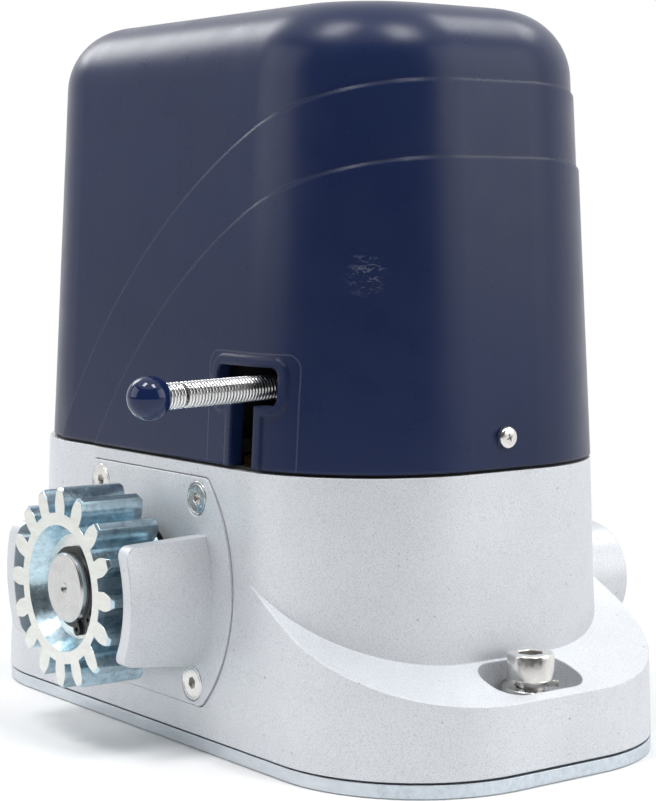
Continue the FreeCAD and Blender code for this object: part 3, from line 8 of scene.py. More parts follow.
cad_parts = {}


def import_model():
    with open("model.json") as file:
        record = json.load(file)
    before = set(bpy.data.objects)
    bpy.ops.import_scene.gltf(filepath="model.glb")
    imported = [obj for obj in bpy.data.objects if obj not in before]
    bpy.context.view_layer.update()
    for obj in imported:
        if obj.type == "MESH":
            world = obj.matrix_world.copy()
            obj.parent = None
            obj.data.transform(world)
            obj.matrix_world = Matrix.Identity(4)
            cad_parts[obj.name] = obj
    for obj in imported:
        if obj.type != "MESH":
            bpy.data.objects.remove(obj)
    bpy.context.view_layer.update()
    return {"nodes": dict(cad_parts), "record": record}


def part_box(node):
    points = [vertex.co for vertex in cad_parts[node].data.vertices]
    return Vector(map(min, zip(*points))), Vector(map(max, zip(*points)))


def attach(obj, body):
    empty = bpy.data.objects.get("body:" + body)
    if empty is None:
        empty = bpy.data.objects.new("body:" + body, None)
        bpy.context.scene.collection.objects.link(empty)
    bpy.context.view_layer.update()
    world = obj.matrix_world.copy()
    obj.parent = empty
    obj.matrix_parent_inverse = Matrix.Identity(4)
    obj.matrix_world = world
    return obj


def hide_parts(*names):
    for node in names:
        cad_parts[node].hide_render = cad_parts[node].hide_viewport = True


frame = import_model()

# Lengths are in mm up to the point where MM turns them into metres. The studio and the camera are
# in metres throughout. Noise scales are per metre.
MM = 0.001
NODES = frame["nodes"]
SHAFT_Z = 56.2


# ---------------------------------------------------------------- node trees

class Tree:
    """A material's or world's node tree, emptied, with short ways to add and join nodes."""

    def __init__(self, owner):
        owner.use_nodes = True
        self.tree = owner.node_tree
        self.tree.nodes.clear()

    def join(self, a, b):
        self.tree.links.new(a, b)

    def feed(self, socket, value):
        """Links an output to a socket, or sets the socket to a number or an RGB colour."""
        if hasattr(value, "is_linked"):
            self.join(value, socket)
        elif isinstance(value, tuple):
            socket.default_value = (*value, 1.0)
        else:
            socket.default_value = value

    def add(self, kind, **sockets):
        node = self.tree.nodes.new(kind)
        for key, value in sockets.items():
            self.feed(node.inputs[key], value)
        return node

    def maths(self, kind, a, b=0.0):
        node = self.tree.nodes.new("ShaderNodeMath")
        node.operation = kind
        self.feed(node.inputs[0], a)
        self.feed(node.inputs[1], b)
        return node.outputs[0]

    def length(self, vector):
        node = self.tree.nodes.new("ShaderNodeVectorMath")
        node.operation = "LENGTH"
        self.join(vector, node.inputs[0])
        return node.outputs["Value"]

    def axis(self, vector, name):
        return self.add("ShaderNodeSeparateXYZ", Vector=vector).outputs[name]

    def span(self, value, low, high, to_low=0.0, to_high=1.0, kind="LINEAR"):
        """A value's range from low to high, mapped onto to_low to to_high."""
        node = self.add("ShaderNodeMapRange", Value=value)
        node.interpolation_type = kind
        node.inputs["From Min"].default_value = low
        node.inputs["From Max"].default_value = high
        node.inputs["To Min"].default_value = to_low
        node.inputs["To Max"].default_value = to_high
        return node.outputs[0]

    def ramp(self, value, *stops):
        """A colour from a value by (place, colour) stops."""
        node = self.add("ShaderNodeValToRGB", Fac=value)
        bar = node.color_ramp.elements
        while len(bar) < len(stops):
            bar.new(0.5)
        for element, (at, color) in zip(bar, stops):
            element.position = at
            element.color = (*color, 1.0)
        return node.outputs[0]

    def either(self, amount, a, b):
        """A shader that goes from one to another by an amount."""
        node = self.add("ShaderNodeMixShader")
        for socket, value in zip(node.inputs, (amount, a, b)):
            self.join(value, socket)
        return node.outputs[0]

    def seen_rays(self):
        """1 for camera, glossy and transmission rays."""
        path = self.add("ShaderNodeLightPath")
        total = path.outputs["Is Camera Ray"]
        for name in ("Is Glossy Ray", "Is Transmission Ray"):
            total = self.maths("MAXIMUM", total, path.outputs[name])
        return total

    def finish(self, kind, shader):
        self.join(shader, self.add(kind).inputs[0])


class Finish(Tree):
    """A principled material whose detail sits in the object's own coordinates."""

    def __init__(self, name, metallic=0.0, specular=0.5):
        self.mat = bpy.data.materials.new(name)
        super().__init__(self.mat)
        self.shader = self.add("ShaderNodeBsdfPrincipled")
        self.shader.inputs["Metallic"].default_value = metallic
        self.shader.inputs["Specular IOR Level"].default_value = specular
        self.finish("ShaderNodeOutputMaterial", self.shader.outputs[0])
        coords = self.add("ShaderNodeTexCoord")
        self.place = coords.outputs["Object"]
        self.facing = coords.outputs["Normal"]

    def stretched(self, x, y, z):
        node = self.add("ShaderNodeMapping", Vector=self.place)
        node.inputs["Scale"].default_value = (x, y, z)
        return node.outputs[0]

    def noise(self, scale, detail=3.0, rough=0.5, vector=None, warp=0.0):
        node = self.add("ShaderNodeTexNoise", Vector=vector or self.place, Scale=scale,
                        Detail=detail, Roughness=rough, Distortion=warp)
        return node.outputs["Fac"]

    def spots(self, scale, size):
        """1 in small scattered dots, 0 between them."""
        node = self.add("ShaderNodeTexVoronoi", Vector=self.place, Scale=scale)
        return self.span(node.outputs["Distance"], size, size * 0.5)

    def blend(self, amount, a, b, mode="MIX"):
        node = self.tree.nodes.new("ShaderNodeMix")
        node.data_type = "RGBA"
        node.blend_type = mode
        factor, first, second = node.inputs[0], node.inputs[6], node.inputs[7]
        for socket, value in ((factor, amount), (first, a), (second, b)):
            self.feed(socket, value)
        return node.outputs[2]

    def near(self, point, radius):
        """1 at a point in the object's coordinates, falling to 0 at a radius from it."""
        node = self.tree.nodes.new("ShaderNodeVectorMath")
        node.operation = "DISTANCE"
        self.join(self.place, node.inputs[0])
        node.inputs[1].default_value = [v * MM for v in point]
        return self.span(node.outputs["Value"], radius * MM, 0.0)

    def color(self, value):
        self.join(value, self.shader.inputs["Base Color"])

    def rough(self, value):
        self.join(value, self.shader.inputs["Roughness"])

    def relief(self, heights, edge):
        """Bumps, each (height value, depth, strength), on top of edges rounded by a radius."""
        normal = None
        if edge:
            bevel = self.tree.nodes.new("ShaderNodeBevel")
            bevel.samples = 6
            bevel.inputs["Radius"].default_value = edge * MM
            normal = bevel.outputs[0]
        for value, depth, strength in heights:
            bump = self.add("ShaderNodeBump", Height=value, Strength=strength)
            bump.inputs["Distance"].default_value = depth * MM
            if normal:
                self.join(normal, bump.inputs["Normal"])
            normal = bump.outputs[0]
        self.join(normal, self.shader.inputs["Normal"])


# ---------------------------------------------------------------- finishes

def shade(color, by):
    return tuple(min(1.0, c * by) for c in color)


def silver_paint(name):
    """Silver paint over a sand casting: flakes, a soft unevenness and a few dark pits."""
    f = Finish(name, metallic=0.42, specular=0.45)
    base, pit = (0.71, 0.73, 0.76), (0.26, 0.27, 0.29)
    cloud = f.noise(22.0, 4.0, 0.6)
    grain = f.noise(2000.0, 2.0, 0.7)
    broad = f.ramp(cloud, (0.3, shade(base, 0.95)), (0.7, shade(base, 1.04)))
    flake = f.ramp(grain, (0.30, (0.72, 0.73, 0.75)), (0.50, (0.93, 0.93, 0.93)),
                   (0.68, (1.0, 1.0, 1.0)))
    color = f.blend(1.0, broad, flake, "MULTIPLY")
    pits = f.maths("MULTIPLY", f.spots(210.0, 0.13), f.span(f.noise(60.0), 0.52, 0.62))
    f.color(f.blend(f.maths("MULTIPLY", pits, 0.6), color, pit))
    f.rough(f.span(f.noise(160.0, 3.0), 0.3, 0.7, 0.36, 0.52))
    skin = f.noise(120.0, 4.0, 0.6)
    f.relief([(skin, 0.35, 0.22), (grain, 0.05, 0.30), (pits, -0.2, 0.5)], edge=0.7)
    return f.mat


def navy_plastic(name):
    """Grained dark plastic with dust, one scuff and the slot insert's parting line."""
    f = Finish(name, specular=0.29)
    base, scratched = (0.0068, 0.0148, 0.0540), (0.13, 0.14, 0.18)
    parting, dusty = (0.09, 0.10, 0.13), (0.22, 0.23, 0.27)
    scuff_at, scuff_r = (97.0, -47.0, 168.7), 9.0
    cloud = f.noise(9.0, 3.0)
    color = f.ramp(cloud, (0.3, shade(base, 0.90)), (0.7, shade(base, 1.12)))
    dust = f.maths("MULTIPLY", f.spots(95.0, 0.035), f.span(f.noise(31.0), 0.55, 0.62))
    hair = f.noise(260.0, 5.0, 0.75, f.stretched(1.0, 0.55, 1.9), 1.2)
    scuff = f.maths("MULTIPLY", f.near(scuff_at, scuff_r), f.span(hair, 0.54, 0.58))
    color = f.blend(f.maths("MULTIPLY", scuff, 0.85), color, scratched)
    line = f.maths("MULTIPLY", insert_line(f), 0.35)
    color = f.blend(line, color, parting)
    f.color(f.blend(f.maths("MULTIPLY", dust, 0.6), color, dusty))
    f.rough(f.span(f.noise(70.0, 4.0), 0.3, 0.7, 0.26, 0.33))
    grain = f.noise(1900.0, 2.0, 0.6)
    f.relief([(grain, 0.03, 0.28), (cloud, 0.4, 0.06), (scuff, -0.05, 0.5), (line, -0.2, 0.6)],
             edge=1.8)
    return f.mat


def insert_line(f):
    """1 on the parting line round the lever slot's insert, on the cover's front."""
    middle, half, top, corner = 60.9 * MM, 22.6 * MM, 141.8 * MM, 5.0 * MM
    fades_from, gone_at = 0.1 * MM, 0.35 * MM
    front_from, front_to = -60.0 * MM, -62.0 * MM
    x = f.maths("SUBTRACT", f.axis(f.place, "X"), middle)
    over_x = f.maths("MAXIMUM", f.maths("SUBTRACT", f.maths("ABSOLUTE", x), half - corner), 0.0)
    over_z = f.maths("MAXIMUM", f.maths("SUBTRACT", f.axis(f.place, "Z"), top - corner), 0.0)
    squares = f.maths("ADD", f.maths("POWER", over_x, 2.0), f.maths("POWER", over_z, 2.0))
    reach = f.maths("SQRT", squares)
    off = f.maths("ABSOLUTE", f.maths("SUBTRACT", reach, corner))
    front = f.span(f.axis(f.place, "Y"), front_from, front_to)
    return f.maths("MULTIPLY", f.span(off, gone_at, fades_from), front)


def zinc(name, bright, dull, rough, tint):
    """Zinc plating: bright on faces cut square to Y, cooler and mottled on the sides."""
    f = Finish(name, metallic=0.88)
    facing = f.maths("ABSOLUTE", f.axis(f.facing, "Y"))
    side = f.span(facing, 0.95, 0.75, 0.0, tint)
    mottle = f.noise(320.0, 6.0, 0.75, warp=0.3)
    sides = f.ramp(mottle, (0.32, shade(dull, 0.66)), (0.50, dull), (0.70, shade(dull, 1.25)))
    marks = f.noise(90.0, 5.0, 0.7, f.stretched(1.0, 1.0, 4.0))
    faces = f.ramp(marks, (0.3, shade(bright, 0.90)), (0.7, shade(bright, 1.04)))
    f.color(f.blend(side, faces, sides))
    f.rough(f.span(mottle, 0.3, 0.7, *rough))
    f.relief([(f.noise(420.0, 3.0), 0.08, 0.25), (mottle, 0.12, 0.15)], edge=0.4)
    return f.mat


def turned(name, base):
    """Bright metal cut on a lathe about the output shaft's axis: rings on its faces."""
    f = Finish(name, metallic=0.95)
    rings_per_metre = 2600.0
    node = f.add("ShaderNodeMapping", Vector=f.place)
    node.inputs["Location"].default_value = (0.0, 0.0, -SHAFT_Z * MM)
    node.inputs["Scale"].default_value = (1.0, 0.0, 1.0)
    across = f.maths("MULTIPLY", f.length(node.outputs[0]), rings_per_metre)
    along = f.maths("MULTIPLY", f.axis(f.place, "Y"), rings_per_metre)
    rings = f.add("ShaderNodeTexNoise", Scale=1.0, Detail=2.0)
    rings.noise_dimensions = "1D"
    f.join(f.maths("ADD", across, along), rings.inputs["W"])
    marks = rings.outputs["Fac"]
    soil = f.noise(130.0, 4.0, 0.6)
    clean = f.ramp(marks, (0.2, shade(base, 0.86)), (0.8, shade(base, 1.06)))
    f.color(f.blend(f.span(soil, 0.45, 0.75, 0.0, 0.35), clean, shade(base, 0.55)))
    f.rough(f.span(marks, 0.25, 0.75, 0.2, 0.34))
    f.relief([(marks, 0.03, 0.35), (soil, 0.05, 0.12)], edge=0.25)
    return f.mat


def metal(name, base, rough, edge=0.2, metallic=0.95, soil=0.3, grain=500.0):
    f = Finish(name, metallic=metallic)
    marks = f.noise(grain, 4.0, 0.6)
    dirt = f.span(f.noise(170.0, 4.0), 0.5, 0.72, 0.0, soil)
    clean = f.ramp(marks, (0.3, shade(base, 0.9)), (0.7, shade(base, 1.06)))
    f.color(f.blend(dirt, clean, shade(base, 0.45)))
    f.rough(f.span(marks, 0.3, 0.7, *rough))
    f.relief([(marks, 0.04, 0.2)], edge=edge)
    return f.mat


def plastic(name, base, rough=(0.38, 0.5), edge=0.3, grain=900.0, specular=0.5):
    f = Finish(name, specular=specular)
    fine = f.noise(grain, 3.0)
    f.color(f.ramp(f.noise(40.0, 3.0), (0.3, shade(base, 0.9)), (0.7, shade(base, 1.1))))
    f.rough(f.span(fine, 0.3, 0.7, *rough))
    f.relief([(fine, 0.03, 0.2)], edge=edge)
    return f.mat


def striped(name, base, dark, pitch):
    """Thin layers or turns stacked along Z, such as laminations or windings."""
    f = Finish(name, metallic=0.7)
    along = f.maths("MULTIPLY", f.axis(f.place, "Z"), math.tau / (pitch * MM))
    wave = f.span(f.maths("SINE", along), -1.0, 1.0)
    layers = f.ramp(wave, (0.1, dark), (0.5, base))
    f.color(f.blend(f.span(f.noise(120.0), 0.3, 0.7, 0.0, 0.3), layers, dark))
    f.rough(f.span(wave, 0.0, 1.0, 0.5, 0.32))
    f.relief([(wave, 0.25 * pitch, 0.6)], edge=0.1)
    return f.mat


FINISHES = {
    "zinc_plate": zinc("zinc_plate", (0.66, 0.70, 0.74), (0.56, 0.63, 0.69), (0.3, 0.44), 0.6),
    "cast_silver": silver_paint("cast_silver"),
    "cover_navy": navy_plastic("cover_navy"),
    "pinion_zinc": zinc("pinion_zinc", (0.77, 0.785, 0.75), (0.52, 0.68, 0.76), (0.15, 0.28), 1.0),
    "bolt_nickel": metal("bolt_nickel", (0.76, 0.75, 0.73), (0.14, 0.26), edge=0.15, soil=0.2),
    "machined_steel": turned("machined_steel", (0.66, 0.66, 0.66)),
    "black_steel": metal("black_steel", (0.022, 0.022, 0.024), (0.28, 0.42), metallic=0.35,
                         soil=0.1),
    "spring_steel": metal("spring_steel", (0.74, 0.74, 0.74), (0.14, 0.24), edge=0.0,
                          metallic=1.0, soil=0.2, grain=900.0),
    "seal_rubber": plastic("seal_rubber", (0.014, 0.014, 0.015), (0.55, 0.7), edge=0.2,
                           grain=700.0, specular=0.3),
    "bronze": metal("bronze", (0.60, 0.41, 0.19), (0.2, 0.34), edge=0.3),
    "raw_aluminium": metal("raw_aluminium", (0.62, 0.63, 0.65), (0.4, 0.55), edge=0.4,
                           metallic=0.9, soil=0.2, grain=240.0),
    "lamination": striped("lamination", (0.30, 0.30, 0.32), (0.08, 0.08, 0.085), 0.5),
    "copper_winding": striped("copper_winding", (0.66, 0.26, 0.10), (0.16, 0.05, 0.02), 0.8),
    "motor_paint": plastic("motor_paint", (0.03, 0.03, 0.034), (0.3, 0.42), edge=0.4, grain=400.0),
    "board_green": plastic("board_green", (0.02, 0.14, 0.06), (0.24, 0.34), edge=0.1, grain=600.0),
    "terminal_grey": plastic("terminal_grey", (0.28, 0.30, 0.32)),
    "relay_blue": plastic("relay_blue", (0.03, 0.09, 0.30), (0.16, 0.26), grain=500.0),
    "switch_black": plastic("switch_black", (0.022, 0.022, 0.025), (0.3, 0.42)),
    "capacitor_white": plastic("capacitor_white", (0.74, 0.74, 0.71), (0.25, 0.35)),
    "knob_grey": plastic("knob_grey", (0.06, 0.06, 0.066), (0.36, 0.5)),
    "ball_navy": plastic("ball_navy", (0.007, 0.016, 0.064), (0.04, 0.08), edge=0.2, grain=300.0,
                         specular=0.42),
}


def dress_nodes():
    """Gives every CAD node the finish of its slot in the record."""
    slots = {part["node"]: part["material_slot"] for part in frame["record"]["subparts"]}
    for name, obj in NODES.items():
        obj.data.materials.clear()
        obj.data.materials.append(FINISHES[slots[name]])


# ---------------------------------------------------------------- forms

def placed(name, data):
    """A new object in the scene."""
    obj = bpy.data.objects.new(name, data)
    bpy.context.scene.collection.objects.link(obj)
    return obj


def piece(name, mesh, body, slot, nodes, smooth=30.0):
    """A new piece in the row frame that rides a body, in place of some of its nodes."""
    obj = placed(name, mesh)
    mesh.materials.clear()
    mesh.materials.append(FINISHES[slot])
    mesh.polygons.foreach_set("use_smooth", [True] * len(mesh.polygons))
    mesh.set_sharp_from_angle(angle=math.radians(smooth))
    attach(obj, body)
    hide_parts(*nodes)


def mesh_of(form, name):
    mesh = bpy.data.meshes.new(name)
    bmesh.ops.recalc_face_normals(form, faces=form.faces)
    form.to_mesh(mesh)
    form.free()
    return mesh


def merged(meshes, name):
    """One mesh out of several."""
    whole = bmesh.new()
    for mesh in meshes:
        whole.from_mesh(mesh)
    result = bpy.data.meshes.new(name)
    whole.to_mesh(result)
    whole.free()
    return result


def evaluated(obj):
    """A mesh of what an object has become with its modifiers or its curve's bevel."""
    graph = bpy.context.evaluated_depsgraph_get()
    return bpy.data.meshes.new_from_object(obj.evaluated_get(graph))


def carved(solid, cutter):
    """The first mesh with the second cut out of it."""
    base, tool = placed("base", solid), placed("tool", cutter)
    cut = base.modifiers.new("cut", "BOOLEAN")
    cut.object = tool
    cut.solver = "EXACT"
    cut.use_self = True
    result = evaluated(base)
    for obj in (base, tool):
        bpy.data.objects.remove(obj)
    return result


def lathe(profile, matrix, steps, name):
    """A mesh turned from a profile of (radius, height) about the matrix's own Z axis."""
    form = bmesh.new()
    turns = [(math.cos(math.tau * k / steps), math.sin(math.tau * k / steps)) for k in range(steps)]
    rings = []
    for radius, height in profile:
        z = height * MM
        if radius == 0.0:
            rings.append([form.verts.new(matrix @ Vector((0.0, 0.0, z)))])
        else:
            rings.append([form.verts.new(matrix @ Vector((radius * MM * c, radius * MM * s, z)))
                          for c, s in turns])
    for a, b in zip(rings, rings[1:]):
        for k in range(steps):
            j = (k + 1) % steps
            corners = [a[k % len(a)], a[j % len(a)], b[j % len(b)], b[k % len(b)]]
            form.faces.new(list(dict.fromkeys(corners)))
    return mesh_of(form, name)


def arc(centre_r, centre_h, radius, start, end, steps):
    """Profile points on an arc, angles in degrees from the radius axis."""
    turn = [math.radians(start + (end - start) * k / steps) for k in range(steps + 1)]
    return [(max(0.0, centre_r + radius * math.cos(t)), centre_h + radius * math.sin(t))
            for t in turn]


def aimed(point, direction):
    """A matrix at a point whose Z axis points along a direction."""
    spin = Vector(direction).normalized().to_track_quat("Z", "Y").to_matrix().to_4x4()
    return Matrix.Translation(Vector(point) * MM) @ spin


def spun(matrix, degrees):
    """The matrix turned about its own Z axis."""
    return matrix @ Matrix.Rotation(math.radians(degrees), 4, "Z")


# ---------------------------------------------------------------- lever

PIVOT = Vector((62.0, -38.5, 130.3))
DROOP = math.radians(1.5)
ALONG = Vector((0.0, -math.cos(DROOP), -math.sin(DROOP)))
BALL_OUT = 71.2
BALL_R = 7.5


def spring():
    """The lever's close-wound wire, with about one turn pulled open near the ball."""
    side, up = Vector((1.0, 0.0, 0.0)), Vector((0.0, -math.sin(DROOP), math.cos(DROOP)))
    wire_r, coil_r, pitch, per_turn = 0.62, 3.97, 1.27, 22
    starts_at, ends_at = 13.0, 66.0
    open_from, open_to, opened = 57.5, 59.4, 1.9
    line, out, k = [], starts_at, 0
    while out < ends_at:
        gap = opened if open_from < out < open_to else 1.0
        turn = math.tau * k / per_turn
        round_coil = side * (coil_r * math.cos(turn)) + up * (coil_r * math.sin(turn))
        line.append(PIVOT + ALONG * out + round_coil)
        out += pitch * gap / per_turn
        k += 1
    curve = bpy.data.curves.new("wire", "CURVE")
    curve.dimensions = "3D"
    curve.bevel_depth = wire_r * MM
    curve.bevel_resolution = 2
    curve.use_fill_caps = True
    run = curve.splines.new("POLY")
    run.points.add(len(line) - 1)
    for point, at in zip(run.points, line):
        point.co = (*(at * MM), 1.0)
    holder = placed("wire", curve)
    mesh = evaluated(holder)
    bpy.data.objects.remove(holder)
    piece("lever_wire_coil", mesh, "lever", "spring_steel", ["lever_spring"], 80.0)


def ball():
    """The lever's ball, with the bore that the spring's end goes into."""
    mouth_r, bore_r, bore_deep = 4.75, 4.3, 2.2
    mouth = math.degrees(math.asin(mouth_r / BALL_R))
    rim = -BALL_R * math.cos(math.radians(mouth))
    profile = [(0.0, rim + bore_deep), (bore_r, rim + bore_deep), (bore_r, rim + 0.15)]
    profile += [(bore_r + 0.15, rim - 0.12)]
    profile += arc(0.0, 0.0, BALL_R, -90.0 + mouth, 90.0, 28)[:-1] + [(0.0, BALL_R)]
    mesh = lathe(profile, aimed(PIVOT + ALONG * BALL_OUT, ALONG), 64, "ball")
    piece("lever_round_ball", mesh, "lever", "ball_navy", ["lever_ball"], 35.0)


# ---------------------------------------------------------------- fixings

CREASE = 28.0


def cross_cutter(matrix, reach, deep):
    """A tapered cross for a driver's recess, down from the matrix's origin."""
    half, above, low_reach, low_half = 0.42, 1.0, 0.35, 0.55
    form = bmesh.new()
    for turn in (0.0, 90.0):
        spin = spun(matrix, turn)
        top = [(reach, half), (-reach, half), (-reach, -half), (reach, -half)]
        low = [form.verts.new(spin @ (Vector((x * low_reach, y * low_half, -deep)) * MM))
               for x, y in top]
        high = [form.verts.new(spin @ (Vector((x, y, above)) * MM)) for x, y in top]
        form.faces.new(low)
        form.faces.new(high)
        for k in range(4):
            form.faces.new([low[k], low[(k + 1) % 4], high[(k + 1) % 4], high[k]])
    return mesh_of(form, "cross")


def cover_screws():
    """Two pan heads with a cross recess, one at each end of the cover."""
    shank_r, shank_long, head_r, head_tall = 1.9, 9.0, 3.7, 2.4
    recess_reach, recess_deep, recess_turn = 1.95, 1.35, 21.0
    low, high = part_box("cover_screws")
    y, z = (low.y + high.y) / MM / 2, (low.z + high.z) / MM / 2
    profile = [(0.0, -shank_long), (shank_r, -shank_long), (shank_r, 0.0), (head_r, 0.0)]
    profile += arc(2.7, 1.2, 1.05, -25.0, 72.0, 7) + [(1.2, 2.38), (0.0, head_tall)]
    heads = []
    for sign, face in ((1.0, high.x / MM), (-1.0, low.x / MM)):
        at = aimed((face - sign * head_tall, y, z), (sign, 0, 0))
        top = spun(at @ Matrix.Translation((0, 0, head_tall * MM)), recess_turn)
        cross = cross_cutter(top, recess_reach, recess_deep)
        heads.append(carved(lathe(profile, at, 48, "head"), cross))
    mesh = merged(heads, "pan_heads")
    piece("cover_pan_screws", mesh, "housing", "bolt_nickel", ["cover_screws"], CREASE)


def gear_cover_screws():
    """Countersunk screws with a hex socket, where the CAD ones sit."""
    shank_r, shank_long, head_r, head_deep = 2.4, 12.0, 6.15, 3.6
    groove_out, groove_in, groove_deep = 5.5, 4.9, 0.12
    socket_r, socket_deep = 2.3, 2.7
    spots = {}
    for vertex in NODES["gear_cover_screws"].data.vertices:
        corner = (vertex.co.x > 0.0, vertex.co.z > SHAFT_Z * MM)
        spots.setdefault(corner, []).append(vertex.co)
    profile = [(0.0, -shank_long), (shank_r, -shank_long), (shank_r, -head_deep)]
    profile += [(head_r - 0.2, -0.45), (head_r, -0.2), (head_r - 0.15, -0.02)]
    profile += [(groove_out, 0.0), (groove_out - 0.15, -groove_deep)]
    profile += [(groove_in + 0.2, -groove_deep), (groove_in, 0.0), (3.2, 0.0), (0.0, 0.0)]
    socket = [(0.0, -socket_deep - 0.2), (socket_r, -socket_deep), (socket_r, 1.0), (0.0, 1.0)]
    heads = []
    for points in spots.values():
        x = (min(p.x for p in points) + max(p.x for p in points)) / MM / 2
        z = (min(p.z for p in points) + max(p.z for p in points)) / MM / 2
        face = min(p.y for p in points) / MM
        at = aimed((x, face, z), (0.0, -1.0, 0.0))
        hexagon = lathe(socket, spun(at, 17.0 + 31.0 * x), 6, "socket")
        heads.append(carved(lathe(profile, at, 64, "head"), hexagon))
    mesh = merged(heads, "countersunk")
    piece("gear_cover_socket_screws", mesh, "housing", "bolt_nickel", ["gear_cover_screws"],
          CREASE)


def foundation_bolts():
    """Socket head bolts in the feet's pockets, on the CAD bolts' axes."""
    shank_r, head_r, head_tall = 4.9, 8.0, 9.0
    socket_r, socket_deep, socket_turn = 4.55, 5.0, 23.0
    low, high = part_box("foundation_bolts")
    top, base = high.z / MM, low.z / MM
    under = top - head_tall
    profile = [(0.0, base), (shank_r - 0.6, base), (shank_r, base + 0.8), (shank_r, under)]
    profile += [(head_r - 0.3, under), (head_r, under + 0.4), (head_r, top - 0.9)]
    profile += [(head_r - 0.15, top - 0.45), (head_r - 0.6, top - 0.05), (head_r - 0.9, top)]
    profile += [(5.0, top), (0.0, top)]
    socket = [(0.0, top - socket_deep - 1.2), (socket_r, top - socket_deep)]
    socket += [(socket_r, top - 0.3), (5.0, top + 0.3), (0.0, top + 0.3)]
    bolts = []
    for x in (high.x / MM - head_r, low.x / MM + head_r):
        at = Matrix.Translation(Vector((x, (low.y + high.y) / MM / 2, 0.0)) * MM)
        hexagon = lathe(socket, spun(at, socket_turn), 6, "socket")
        bolts.append(carved(lathe(profile, at, 72, "bolt"), hexagon))
    mesh = merged(bolts, "socket_bolts")
    piece("foundation_socket_bolts", mesh, "housing", "bolt_nickel", ["foundation_bolts"], CREASE)


def split_washer(form, x, y, z, start):
    """One turn of square wire that rises from end to end."""
    steps, inner, outer, thick, rise, sweep = 56, 5.5, 9.6, 2.3, 3.0, 0.965
    soft, inner_soft = 0.15, 0.12
    section = ((inner, inner_soft), (outer - soft, 0.0), (outer, soft), (outer, thick - soft),
               (outer - soft, thick), (inner, thick - inner_soft))
    last = None
    for k in range(steps + 1):
        turn = start - math.tau * sweep * k / steps
        lift = z + rise * k / steps
        c, s = math.cos(turn), math.sin(turn)
        ring = [form.verts.new(Vector((x + r * c, y + r * s, lift + h)) * MM) for r, h in section]
        if last:
            for i in range(6):
                form.faces.new([last[i], last[(i + 1) % 6], ring[(i + 1) % 6], ring[i]])
        else:
            form.faces.new(ring)
        last = ring
    form.faces.new(last)


def spring_washers():
    """A split washer under each foundation bolt's head, its gap turned a different way."""
    low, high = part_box("spring_washers")
    form = bmesh.new()
    for x, start in ((128.0, 0.72), (-128.0, 3.4)):
        split_washer(form, x, 0.0, low.z / MM + 0.05, start)
    piece("split_washers", mesh_of(form, "split"), "housing", "bolt_nickel", ["spring_washers"])


# ---------------------------------------------------------------- studio, in metres

def floor():
    """A pale floor that keeps the shadow near the object and turns white away from it."""
    form = bmesh.new()
    bmesh.ops.create_circle(form, cap_ends=True, radius=6.0, segments=96)
    obj = placed("floor", mesh_of(form, "floor"))
    obj.location.z = -0.0004
    shadow_kept, all_white = 0.10, 0.42
    mat = bpy.data.materials.new("floor")
    tree = Tree(mat)
    grain = tree.add("ShaderNodeTexNoise", Scale=30.0)
    tint = tree.ramp(grain.outputs["Fac"], (0.0, (0.86, 0.86, 0.86)), (1.0, (0.90, 0.90, 0.90)))
    matt = tree.add("ShaderNodeBsdfDiffuse", Color=tint)
    white = tree.add("ShaderNodeEmission")
    place = tree.add("ShaderNodeNewGeometry").outputs["Position"]
    away = tree.span(tree.length(place), shadow_kept, all_white, kind="SMOOTHSTEP")
    seen = tree.maths("MULTIPLY", away, tree.seen_rays())
    shader = tree.either(seen, matt.outputs[0], white.outputs[0])
    tree.finish("ShaderNodeOutputMaterial", shader)
    obj.data.materials.append(mat)


def world():
    """A soft room: dimmer as a source of light than as the white background."""
    sky = bpy.data.worlds.new("room")
    bpy.context.scene.world = sky
    tree = Tree(sky)
    soft = tree.add("ShaderNodeBackground", Color=(0.95, 0.97, 1.0), Strength=0.50)
    white = tree.add("ShaderNodeBackground", Color=(1.0, 1.0, 1.0), Strength=1.0)
    shader = tree.either(tree.seen_rays(), soft.outputs[0], white.outputs[0])
    tree.finish("ShaderNodeOutputWorld", shader)


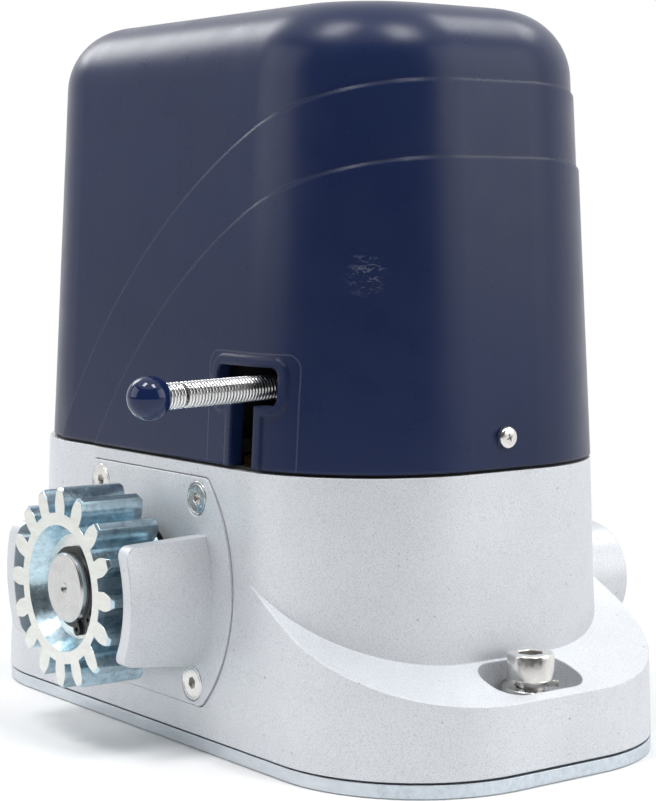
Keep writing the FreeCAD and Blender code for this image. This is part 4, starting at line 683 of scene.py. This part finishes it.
def card():
    """A dark curved screen behind the camera, only in reflections, that fades out at its ends."""
    steps, radius, tall = 72, 1.9, 2.2
    first, last = math.radians(-178.0), math.radians(43.0)
    tones = ((0.0, 0.75), (0.10, 0.62), (0.15, 0.60), (0.29, 0.07), (0.84, 0.04), (1.0, 0.9))
    form = bmesh.new()
    rows = []
    for k in range(steps + 1):
        turn = first + (last - first) * k / steps
        x, y = radius * math.cos(turn), radius * math.sin(turn)
        rows.append([form.verts.new((x, y, z)) for z in (0.0, tall)])
    for a, b in zip(rows, rows[1:]):
        form.faces.new([a[0], b[0], b[1], a[1]])
    obj = placed("card", mesh_of(form, "card"))
    mat = bpy.data.materials.new("card")
    tree = Tree(mat)
    place = tree.add("ShaderNodeTexCoord").outputs["Object"]
    turn = tree.maths("ARCTAN2", tree.axis(place, "Y"), tree.axis(place, "X"))
    tone = tree.ramp(tree.span(turn, first, last), *((at, (grey,) * 3) for at, grey in tones))
    glow = tree.add("ShaderNodeEmission", Color=tone)
    tree.finish("ShaderNodeOutputMaterial", glow.outputs[0])
    obj.data.materials.append(mat)
    obj.visible_camera = False
    obj.visible_diffuse = False
    obj.visible_shadow = False
    obj.visible_transmission = False
    obj.visible_volume_scatter = False


def lamp(name, at, size, watts):
    """A soft box that looks at the middle of the object."""
    data = bpy.data.lights.new(name, "AREA")
    data.shape = "RECTANGLE"
    data.size, data.size_y = size
    data.energy = watts
    obj = placed(name, data)
    obj.location = at
    middle = Vector((0.0, 0.0, 0.12))
    obj.rotation_euler = (middle - Vector(at)).to_track_quat("-Z", "Y").to_euler()


def studio():
    lamp("overhead_left", (0.05, -0.50, 1.30), (0.28, 0.42), 6.0)
    lamp("overhead_right", (0.62, 0.05, 1.30), (0.28, 0.42), 6.0)
    lamp("high_left", (-1.15, -0.15, 0.95), (0.45, 0.60), 4.8)
    lamp("high_back", (0.10, 1.00, 1.30), (0.60, 0.50), 5.0)
    lamp("front_left", (-0.75, -1.45, 0.75), (1.2, 1.1), 7.5)
    lamp("front_right", (1.35, 0.95, 0.75), (1.1, 1.1), 6.0)


def camera():
    """A camera at the photograph's viewing angle."""
    data = bpy.data.cameras.new("camera")
    data.lens = 94.84
    data.sensor_width = 36.0
    obj = placed("camera", data)
    turn, pitch, away = math.radians(53.36), math.radians(5.01), 0.79916
    target = Vector((0.01309, 0.0, 0.11843))
    level = math.cos(pitch)
    back = Vector((math.sin(turn) * level, -math.cos(turn) * level, math.sin(pitch)))
    obj.location = target + back * away
    obj.rotation_euler = (math.pi / 2 - pitch, 0.0, turn)
    bpy.context.scene.camera = obj


dress_nodes()
spring()
ball()
cover_screws()
gear_cover_screws()
foundation_bolts()
spring_washers()
floor()
card()
world()
studio()
camera()
bpy.context.scene.view_settings.view_transform = "Standard"
